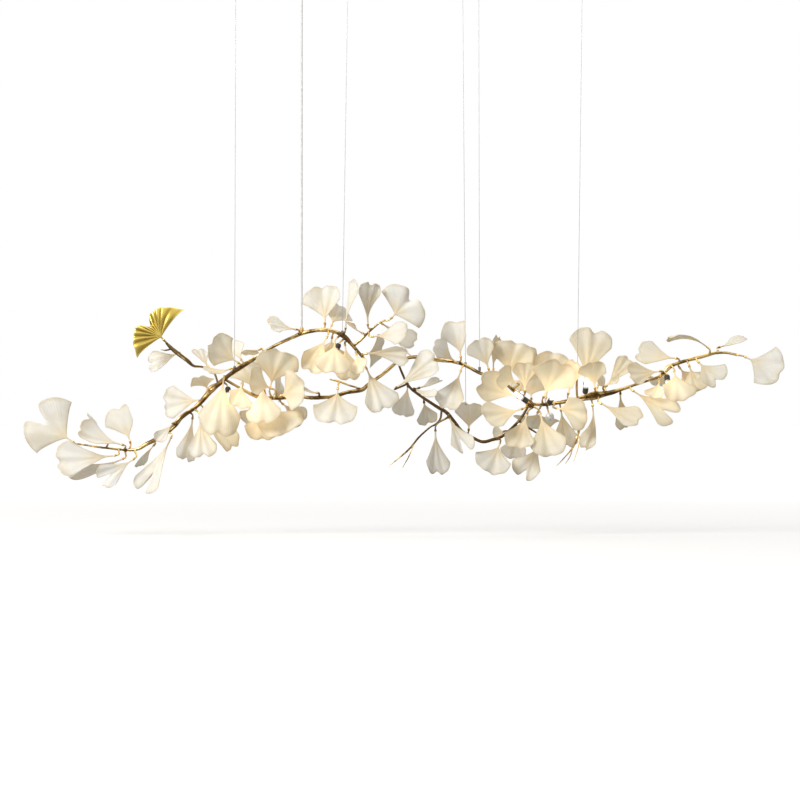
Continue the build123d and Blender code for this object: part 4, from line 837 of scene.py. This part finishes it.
def leaf_points(leaf, t, s, draw, wave, scallop, curl=0.0, rib=0.0, rib_count=0):
    """Where the grid's points go on one leaf, with its own waves from a seeded draw."""
    base, length, along, across, out = leaf_frame(leaf)
    width, bend, cup, twist, notch = leaf[3:8]
    width *= MM
    place, u, v, heading = midline(math.radians(bend))
    u, v, heading = (np.interp(s, place, values) for values in (u, v, heading))
    grow = growth(s)
    stem = STEM_WIDTH * MM

    # Half the fan's width, and how far each point lags behind the outer edge's middle
    corner = (t * grow) ** CORNER_POWER
    flare = (1 + FLARE_EASE) * grow * grow / (grow + FLARE_EASE)
    half = (stem / 2 + (width - stem) / 2 * flare) * (1 - CORNER_TRIM * corner)
    lag = LEAF_ROUNDING * width / 2 * grow * sum(share * t ** power for share, power in EDGE_CURVE)
    lag = lag + CORNER_LAG * width * corner
    lag = lag + notch * length * np.exp(-((t / NOTCH_WIDTH) ** 2)) * grow ** 3
    phases = [draw.uniform(0, 2 * math.pi) for _ in range(4)]
    lip = draw.uniform(*LIP_RANGE)
    sway = draw.uniform(*SWAY_RANGE)
    lag = lag + scallop * length * grow ** 4 * sum(
        share * np.sin(waves * t + phase) for (share, waves), phase in zip(SCALLOPS, phases))

    # Height of the folds, lip, sway, curled sides and ribs over the smooth leaf
    (broad, few), (narrow, many) = FOLDS
    fold = broad * np.sin(few * t + phases[2] + FOLD_LEAN * s)
    fold = fold * (FOLD_MIDDLE + (1 - FOLD_MIDDLE) * np.abs(t))
    fold = fold + narrow * np.sin(many * t + phases[3])
    lift = wave * width * grow ** 1.6 * fold
    lift = lift - lip * width * grow ** 5 + sway * width * grow ** 2 * t * np.abs(t)
    lift = lift - curl * width * grow ** 4 * t ** 4 + rib * grow * np.cos(rib_count * np.pi * t)

    # Bent along the middle line, twisted about it and cupped across it
    def column(values):
        return np.asarray(values)[:, None]

    roll = math.radians(cup) * np.maximum(grow, 1e-4)
    turn = math.radians(twist) * grow
    along, across, out, base = (np.array(x) for x in (along, across, out, base))
    forward = along * column(np.cos(heading)) + out * column(np.sin(heading))
    up = out * column(np.cos(heading)) - along * column(np.sin(heading))
    side = across * column(np.cos(turn)) + up * column(np.sin(turn))
    rise = up * column(np.cos(turn)) - across * column(np.sin(turn))
    x = half * np.sin(roll * t) / roll
    y = half * (1 - np.cos(roll * t)) / roll
    normal = rise * column(np.cos(roll * t)) - side * column(np.sin(roll * t))
    points = base + along * column(u * length) + out * column(v * length) - forward * column(lag)
    return points + side * column(x) + rise * column(y) + normal * column(lift)


def shaped_leaf(grid, leaf, draw, **form):
    """A copy of the flat leaf, moved to its shape and place."""
    piece = own_copy(grid)
    flat = vertex_places(piece)
    points = leaf_points(leaf, flat[:, 0], (flat[:, 1] + 1) / 2, draw, **form)
    piece.data.vertices.foreach_set("co", points.ravel())
    piece.data.update()
    return piece


def walled(piece):
    """Gives leaves their wall and rounded rim."""
    apply_modifier(piece, "SOLIDIFY", "Wall", thickness=settings().stem, offset=0,
                   vertex_group="wall", thickness_vertex_group=0.0)
    apply_modifier(piece, "SUBSURF", "Rounding", levels=1, render_levels=1)
    make_active([piece])
    bpy.ops.object.shade_smooth()


def paint_lamp_glow(piece):
    """Paints lamplight into the porcelain: a glow at each point that falls off with the distance
    from each lamp, and how far its warm tint reaches.
    """
    chosen = settings()
    places = vertex_places(piece)
    painted_glow_level = np.zeros(len(places))
    painted_warmth = np.zeros(len(places))
    for back, way in LAMPS:
        middle = at(back) + Vector(way).normalized() * (HOLDER_LENGTH + BULB_LENGTH / 2) * MM
        gap = np.linalg.norm(places - np.array(middle), axis=1)
        painted_glow_level += 1 / (1 + (gap / chosen.painted_glow_reach) ** 2) ** 2
        painted_warmth += 1 / (1 + (gap / (2 * chosen.painted_glow_reach)) ** 4)
    painted_glow_level = np.minimum(painted_glow_level, 1) * chosen.painted_glow_strength
    colours = np.column_stack([np.outer(painted_glow_level, chosen.glow), np.minimum(painted_warmth, 1)])
    lamplight = piece.data.color_attributes.new("lamplight", "FLOAT_COLOR", "POINT")
    lamplight.data.foreach_set("color", colours.astype(np.float32).ravel())


# Twigs

def flowing(points):
    """Places and radii along a flowing curve through a twig's points, in metres."""
    places = np.array([at(p) for p in points])
    radii = np.array([p[3] * MM for p in points])
    ends = np.vstack([2 * places[0] - places[1], places, 2 * places[-1] - places[-2]])
    line, size = [], []
    for i in range(len(places) - 1):
        a, b, c, d = ends[i:i + 4]
        count = max(2, int(np.linalg.norm(c - b) / (TWIG_STEP * MM)))
        for k in range(count):
            h = k / count
            line.append(0.5 * (2 * b + (c - a) * h + (2 * a - 5 * b + 4 * c - d) * h * h
                               + (3 * b - a - 3 * c + d) * h ** 3))
            ease = h * h * (3 - 2 * h)
            size.append(radii[i] * (1 - ease) + radii[i + 1] * ease)
    return np.array(line + [places[-1]]), np.array(size + [radii[-1]])


def frames(line):
    """Two unit vectors square to a line at each of its points, without twist."""
    way = np.gradient(line, axis=0)
    way /= np.linalg.norm(way, axis=1)[:, None]
    first = [np.cross(way[0], SIDE_HINT)]
    for tangent in way:
        kept = first[-1] - tangent * first[-1].dot(tangent)
        first.append(kept / np.linalg.norm(kept))
    first = np.array(first[1:])
    return first, np.cross(way, first)


def tube(name, line, radii):
    """A round mesh tube along a line, with its own radius at each point."""
    curve = round_curve(name, 1.0, 2)
    spline = curve.splines.new("POLY")
    spline.points.add(len(line) - 1)
    spline.points.foreach_set("co", np.column_stack([line, np.ones(len(line))]).ravel())
    spline.points.foreach_set("radius", radii)
    make_active([linked(name, curve)])
    bpy.ops.object.convert(target="MESH")
    return bpy.context.object


def strands(name, points, draw):
    """A twig as strands wound on a core, as cast from bundled twigs."""
    line, radii = flowing(points)
    core = tube(name, line, radii * CORE_SHARE)
    if max(p[3] for p in points) < THIN_TWIG:
        return [tube(name, line, radii), core]
    first, second = frames(line)
    steps = np.linalg.norm(np.diff(line, axis=0), axis=1)
    length = np.concatenate([[0], np.cumsum(steps)])
    pieces = [core]
    for i in range(STRANDS):
        start = draw.uniform(0, 2 * math.pi)
        turn = start + i * 2 * math.pi / STRANDS + length * draw.uniform(*WINDING)
        sway = 1 + SWAY_SHARE * np.sin(length * draw.uniform(*STRAND_SWAY) + start)
        girth = draw.uniform(*STRAND_GIRTH)
        girth = girth * (1 + SWELL_SHARE * np.sin(length * draw.uniform(*STRAND_SWELL) + start))
        reach = (radii * (1.0 - girth * STRAND_INSET) * sway)[:, None]
        path = line + reach * (first * np.cos(turn)[:, None] + second * np.sin(turn)[:, None])
        pieces.append(tube(name, path, radii * girth))
    return pieces


def nearest(points, place):
    """Nearest point to a place on a twig's centre line, and the line's direction there."""
    best = None
    for a, b in zip(points, points[1:]):
        start = at(a)
        run = at(b) - start
        share = (place - start).dot(run) / run.dot(run)
        share = min(1 - ROOT_CLEAR, max(ROOT_CLEAR, share))
        spot = start + run * share
        if best is None or (place - spot).length < (place - best[0]).length:
            best = (spot, run.normalized())
    return best


def carrier(place):
    """The twig that carries a place, the nearest point of its centre line and the way it runs."""
    found = []
    for name, (_, points, leafy) in TWIGS.items():
        if leafy:
            free = points if name == "main" else points[1:]
            free = free[:-1] if name == "cascade" else free
            found.append((name, *nearest(free, place)))
    return min(found, key=lambda spot: (spot[1] - place).length)


def stalk_line(root, run, end, direction):
    """A stalk's curve from inside its twig to a collar or holder."""
    way = end - root
    square = (way - run * way.dot(run)).normalized()
    gap = way.length
    low, high = STALK_HANDLES
    handles = (root, root + square * gap * low, end - direction * gap * high, end)
    a, b, c, d = (np.array(h) for h in handles)
    h = np.linspace(0, 1, STALK_POINTS)[:, None]
    return a * (1 - h) ** 3 + 3 * b * h * (1 - h) ** 2 + 3 * c * h * h * (1 - h) + d * h ** 3


def stalk_ends():
    """Where each leaf, lamp and bead meets its stalk: place, way, and node made with the stalk."""
    ends = []
    for leaf in [leaf for group in LEAVES.values() for leaf in group] + [GOLD_LEAF]:
        direction = stem_direction(leaf)
        ends.append((at(leaf[0]) - direction * COLLAR_FLOOR * MM, direction, "leaf_collars"))
    for back, way in LAMPS:
        ends.append((at(back), Vector(way).normalized(), "lamp_arms"))
    bead = at(BEAD_PLACE)
    direction = (bead - carrier(bead)[1]).normalized()
    ends.append((bead - direction * (BEAD_RADIUS - 1) * MM, direction, None))
    return ends


def cup_tube(end, direction):
    """The brass cup that a leaf's stem stands in, widening from its stalk."""
    top = COLLAR_FLOOR + COLLAR_DEPTH
    heights = (-CUP_FOOT, 0, COLLAR_FLOOR, COLLAR_FLOOR + COLLAR_DEPTH / 2, top)
    line = np.array([end + direction * h * MM for h in heights])
    return tube("cup", line, np.array(CUP_SHARES) * COLLAR_RADIUS * MM)


def stalk_pieces():
    """Tubes of the stalks with their cups, and the nodes that they stand for, by twig."""
    found = {}
    for end, direction, stands_for in stalk_ends():
        name, root, run = carrier(end)
        node_name = TWIGS[name][0]
        tubes, nodes = found.setdefault(node_name, ([], {STALK_NODES[node_name]}))
        line = stalk_line(root, run, end, direction)
        tubes.append(tube("stalk", line, np.linspace(*STALK_TAPER, len(line)) * STALK_RADIUS * MM))
        if stands_for == "leaf_collars":
            tubes.append(cup_tube(end, direction))
        if stands_for:
            nodes.add(stands_for)
    return found


def cast(piece):
    """Melts joined tubes into one casting with rough bark."""
    chosen = settings()
    apply_modifier(piece, "REMESH", "Melt", mode="VOXEL", voxel_size=chosen.grain)
    apply_modifier(piece, "SMOOTH", "Soften", factor=0.5, iterations=3)
    bark = bpy.data.textures.get("bark") or bpy.data.textures.new("bark", "CLOUDS")
    bark.noise_scale = BARK_SCALE
    bark.noise_depth = 3
    apply_modifier(piece, "DISPLACE", "Bark", texture=bark, texture_coords="LOCAL",
                   strength=chosen.bark, mid_level=0.55)
    mark_hollows(piece)


def mark_hollows(piece):
    """Smooth shading, and a colour attribute that is dark in the hollows."""
    make_active([piece])
    bpy.ops.object.shade_smooth()
    piece.data.color_attributes.new("hollows", "BYTE_COLOR", "CORNER")
    piece.data.color_attributes.active_color_index = 0
    bpy.ops.paint.vertex_color_dirt(blur_strength=1, blur_iterations=2, normalize=True)


# Lamps

def turned(name, profile, sides=20):
    """A round closed piece on the Z axis, raised ring by ring from radii and heights in mm."""
    deselect()
    radius, height = profile[0]
    bpy.ops.mesh.primitive_circle_add(vertices=sides, radius=radius * MM, fill_type="NGON",
                                      location=(0, 0, height * MM))
    piece = bpy.context.object
    piece.name = name
    bpy.ops.object.transform_apply()
    bpy.ops.object.mode_set(mode="EDIT")
    bpy.ops.mesh.select_all(action="SELECT")
    for (radius, height), (wider, higher) in zip(profile, profile[1:]):
        rise = (0, 0, (higher - height) * MM)
        bpy.ops.mesh.extrude_region_move(TRANSFORM_OT_translate={"value": rise})
        bpy.ops.transform.resize(value=(wider / radius, wider / radius, 1),
                                 center_override=(0, 0, higher * MM))
    bpy.ops.mesh.select_all(action="SELECT")
    bpy.ops.mesh.normals_make_consistent(inside=False)
    bpy.ops.object.mode_set(mode="OBJECT")
    bpy.ops.object.shade_smooth_by_angle(angle=math.radians(SHARP_ANGLE))
    return piece


def lamp_glass():
    """The glass capsule, with its neck and round tip, in front of the holder's back."""
    low = HOLDER_LENGTH + FOOT_LENGTH
    high = HOLDER_LENGTH + BULB_LENGTH - BULB_RADIUS
    profile = [(BULB_RADIUS * 0.86, low), (BULB_RADIUS * 0.9, low + 0.5), (BULB_RADIUS, low + 1.6)]
    for angle in TIP_ANGLES:
        turn = math.radians(angle)
        profile.append((BULB_RADIUS * math.cos(turn), high + BULB_RADIUS * math.sin(turn)))
    return turned("lamp_glass", profile)


def lamp_foot():
    """The ceramic foot and its two pins."""
    low = HOLDER_LENGTH
    high = low + FOOT_LENGTH
    pieces = [turned("lamp_foot", [
        (FOOT_RADIUS * 0.9, low), (FOOT_RADIUS, low + 0.5), (FOOT_RADIUS, high - 1.2),
        (FOOT_RADIUS * 0.92, high - 0.4), (FOOT_RADIUS * 0.8, high)])]
    for side in (-0.5, 0.5):
        tip = low - PIN_LENGTH
        profile = [(PIN_RADIUS * 0.5, tip), (PIN_RADIUS, tip + 0.5), (PIN_RADIUS, low + 1)]
        pin = turned("pin", profile, sides=12)
        pin.data.transform(Matrix.Translation((side * PIN_SPACING * MM, 0, 0)))
        pieces.append(pin)
    return joined(pieces, "lamp_foot")


def lamp_matrix(back, way):
    """Turns and moves a lamp from the Z axis to its holder, with its pins over the holes."""
    way = Vector(way).normalized()
    small = min(range(3), key=lambda i: abs(way[i]))
    side = Vector()
    side[small - 2] = way[small - 1]
    side[small - 1] = -way[small - 2]
    side.normalize()
    turn = Matrix((side, way.cross(side), way)).transposed().to_4x4()
    return Matrix.Translation(at(back)) @ turn


def cord_runs():
    """Each wire and the power cord: node, foot, head, width, slot and pieces that hang on it."""
    runs = []
    for i, (place, shift) in enumerate(WIRES):
        grip = at(place)
        ceiling = Vector((grip.x + shift * MM, grip.y, 0))
        head = ceiling - Vector((0, 0, PLUG_SEAT * MM))
        if i == GRIP_WIRE:
            foot = grip - (ceiling - grip).normalized() * TAIL_LENGTH * MM
            riders = ["wire_tail_stop"]
        else:
            foot = grip + Vector((0, 0, STUD_HEIGHT * MM))
            riders = []
        runs.append((f"suspension_wire_{i + 1}", foot, head, WIRE_WIDTH * MM, "steel", riders))
    foot = at(CORD_FOOT) + Vector((0, 0, GLAND_SEAT * MM))
    head = Vector((0, 0, -ROSE_SEAT * MM))
    runs.append(("power_cord", foot, head, CORD_WIDTH * MM, "clear_cord", []))
    return runs


class CHANDELIER_OT_stage(bpy.types.Operator):
    """Make the camera, the studio floor, the lights and the white surround"""

    bl_idname = "chandelier.stage"
    bl_label = "Stage"

    def execute(self, context):
        scene = context.scene
        scene.view_settings.view_transform = "Standard"
        centre = at((0, 0, 0))
        camera = linked("camera", bpy.data.cameras.new("camera"))
        camera.location = centre + Vector((0, -CAMERA_AWAY, 0))
        camera.rotation_euler = (math.pi / 2, 0, 0)
        camera.data.sensor_width = 36
        camera.data.lens = 144
        camera.data.clip_end = 200
        scene.camera = camera

        deselect()
        bpy.ops.mesh.primitive_plane_add(size=FLOOR_SIZE, location=(centre.x, 0, FLOOR_LEVEL))
        floor = context.object
        floor.name = "studio_floor"
        floor.data.materials.append(floor_material())

        for name, (place, aim, size, power, colour) in LIGHTS.items():
            lamp = linked(name, bpy.data.lights.new(name, "AREA"))
            lamp.data.size = size
            lamp.data.energy = power
            lamp.data.color = colour
            lamp.location = place
            view = Vector(aim) - Vector(place)
            lamp.rotation_euler = view.to_track_quat("-Z", "Y").to_euler()

        scene.world = bpy.data.worlds.new("surround")
        scene.world.use_nodes = True
        tree = scene.world.node_tree
        path = node(tree, "ShaderNodeLightPath").outputs
        seen = sums(tree, "MAXIMUM", path["Is Camera Ray"], path["Is Glossy Ray"])
        seen = sums(tree, "MAXIMUM", seen, path["Is Transmission Ray"])
        feed(tree, tree.nodes["Background"], {"Color": blend(tree, seen, SURROUND, (1, 1, 1))})
        return {"FINISHED"}


class CHANDELIER_OT_wires(bpy.types.Operator):
    """Hang the spray on its steel wires and its clear power cord"""

    bl_idname = "chandelier.wires"
    bl_label = "Wires and power cord"

    def execute(self, context):
        chosen = settings()
        clear = ceramic_material("clear_cord", chosen.clear_cord, 0.15)
        shader = clear.node_tree.nodes["Principled BSDF"]
        shader.inputs["Transmission Weight"].default_value = 0.15
        steel = turned_metal_material("drawn_steel", chosen.steel, 0.25)
        for name, foot, head, width, slot, riders in cord_runs():
            curve = round_curve(name, width / 2, 4)
            spline = curve.splines.new("NURBS")
            spline.points.add(2)
            for point, place in zip(spline.points, (foot, (foot + head) / 2, head)):
                point.co = (*place, 1)
            spline.order_u = 3
            spline.use_endpoint_u = True
            wire = linked(f"{name}_line", curve)
            placed(wire, BODY, slot, steel if slot == "steel" else clear, name)
        return {"FINISHED"}


class CHANDELIER_OT_leaves(bpy.types.Operator):
    """Shape the porcelain leaves, one piece for each group"""

    bl_idname = "chandelier.leaves"
    bl_label = "Porcelain leaves"

    def execute(self, context):
        chosen = settings()
        form = {"wave": chosen.wave, "scallop": chosen.scallop}
        grid = flat_leaf(*LEAF_GRID)
        material = porcelain_material()
        draw = random.Random(LEAF_SEED)
        for name, group in LEAVES.items():
            made = [shaped_leaf(grid, leaf, draw, **form) for leaf in group]
            piece = joined(made, f"{name}_shaped")
            walled(piece)
            paint_lamp_glow(piece)
            placed(piece, BODY, "porcelain", material, name)
        bpy.data.objects.remove(grid)
        return {"FINISHED"}


class CHANDELIER_OT_gold_leaf(bpy.types.Operator):
    """Shape the one ribbed gold leaf"""

    bl_idname = "chandelier.gold_leaf"
    bl_label = "Gold leaf"

    def execute(self, context):
        chosen = settings()
        grid = flat_leaf(*GOLD_GRID)
        made = shaped_leaf(grid, GOLD_LEAF, random.Random(GOLD_SEED), **GOLD_FORM)
        piece = joined([made], "gold_leaf_ribbed")
        walled(piece)
        mark_hollows(piece)
        material = brass_material("polished_gold", chosen.gold, chosen.gold_shade, share=0.38,
                                  rough=0.22, speckle=0.12)
        placed(piece, BODY, "gold", material, "gold_leaf")
        bpy.data.objects.remove(grid)
        return {"FINISHED"}


class CHANDELIER_OT_twigs(bpy.types.Operator):
    """Cast the brass twigs with their stalks"""

    bl_idname = "chandelier.twigs"
    bl_label = "Brass twigs"

    def execute(self, context):
        chosen = settings()
        tones = (chosen.brass, chosen.patina)
        bright = brass_material("cast_brass", *tones, share=0.47, rough=0.26)
        dark = brass_material("dark_brass", *tones, share=0.58, rough=0.26)
        draw = random.Random(TWIG_SEED)
        stalks = stalk_pieces()
        tubes = {}
        for name, (node_name, points, _) in TWIGS.items():
            tubes.setdefault(node_name, []).extend(strands(name, points, draw))
        for node_name, made in tubes.items():
            more, nodes = stalks.get(node_name, ([], ()))
            piece = joined(made + more, f"{node_name}_cast")
            cast(piece)
            material = dark if node_name == "cascade_branch" else bright
            placed(piece, BODY, "brass", material, node_name, *sorted(nodes))
        return {"FINISHED"}


class CHANDELIER_OT_lamps(bpy.types.Operator):
    """Make the lit pin lamps: a glass capsule on a ceramic foot"""

    bl_idname = "chandelier.lamps"
    bl_label = "Lamps"

    def execute(self, context):
        ceramic = ceramic_material("lamp_ceramic", (0.84, 0.82, 0.77), 0.35)
        kinds = (
            ("glass", "lamp_glass", lamp_glass(), glow_material()),
            ("foot", "holder", lamp_foot(), ceramic),
        )
        for kind, slot, model, material in kinds:
            for i, lamp in enumerate(LAMPS):
                piece = own_copy(model)
                piece.name = f"lamp_{i + 1}_{kind}"
                piece.data.name = piece.name
                piece.data.transform(lamp_matrix(*lamp))
                placed(piece, f"lamp_{i + 1}_body", slot, material, f"lamp_{i + 1}")
            bpy.data.objects.remove(model)
        return {"FINISHED"}


class CHANDELIER_OT_fittings(bpy.types.Operator):
    """Finish the holders, bead, studs and ceiling fittings"""

    bl_idname = "chandelier.fittings"
    bl_label = "Fittings"

    def execute(self, context):
        satin = darker(settings().brass, 0.9)
        finishes = {
            "lamp_holders": ceramic_material("dark_holder", (0.05, 0.04, 0.03), 0.5),
            "flower_bead": bead_material(),
            "wire_studs": turned_metal_material("stud_metal", (0.25, 0.24, 0.22), 0.3),
            "wire_tail_stop": turned_metal_material("tail_stop", (0.5, 0.5, 0.5), 0.25),
            "cord_gland": turned_metal_material("gland_brass", satin, 0.3),
            "ceiling_cups": turned_metal_material("cup_metal", satin, 0.28),
            "gripper_plugs": turned_metal_material("plug_metal", satin, 0.24),
            "gripper_barrels": turned_metal_material("barrel_metal", satin, 0.26),
            "power_rose": turned_metal_material("rose_metal", satin, 0.3),
            "terminal_block": ceramic_material("terminal_plastic", (0.82, 0.81, 0.77), 0.4),
            "cord_grip": ceramic_material("grip_plastic", (0.75, 0.74, 0.7), 0.35),
        }
        plunger = turned_metal_material("plunger_steel", (0.62, 0.62, 0.62), 0.2)
        for i in range(len(WIRES)):
            finishes[f"plunger_{i + 1}"] = plunger
        for name, material in finishes.items():
            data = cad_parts[name].data
            data.materials.clear()
            data.materials.append(material)
        return {"FINISHED"}


class CHANDELIER_PT_pieces(bpy.types.Panel):
    """Lists the chandelier's pieces and settings"""

    bl_idname = "CHANDELIER_PT_pieces"
    bl_label = "Chandelier"
    bl_space_type = "VIEW_3D"
    bl_region_type = "UI"
    bl_category = "Chandelier"

    def draw(self, context):
        for operator in OPERATORS:
            self.layout.operator(operator.bl_idname)
        for key in ChandelierSettings.__annotations__:
            self.layout.prop(context.scene.chandelier, key)


OPERATORS = (
    CHANDELIER_OT_stage,
    CHANDELIER_OT_wires,
    CHANDELIER_OT_leaves,
    CHANDELIER_OT_gold_leaf,
    CHANDELIER_OT_twigs,
    CHANDELIER_OT_lamps,
    CHANDELIER_OT_fittings,
)
CLASSES = (ChandelierSettings, *OPERATORS, CHANDELIER_PT_pieces)


def register():
    for cls in CLASSES:
        bpy.utils.register_class(cls)
    bpy.types.Scene.chandelier = PointerProperty(type=ChandelierSettings)


def unregister():
    del bpy.types.Scene.chandelier
    for cls in reversed(CLASSES):
        bpy.utils.unregister_class(cls)


def main():
    register()
    bpy.ops.chandelier.stage()
    bpy.ops.chandelier.wires()
    bpy.ops.chandelier.leaves()
    bpy.ops.chandelier.gold_leaf()
    bpy.ops.chandelier.twigs()
    bpy.ops.chandelier.lamps()
    bpy.ops.chandelier.fittings()


if __name__ == "__main__":
    main()
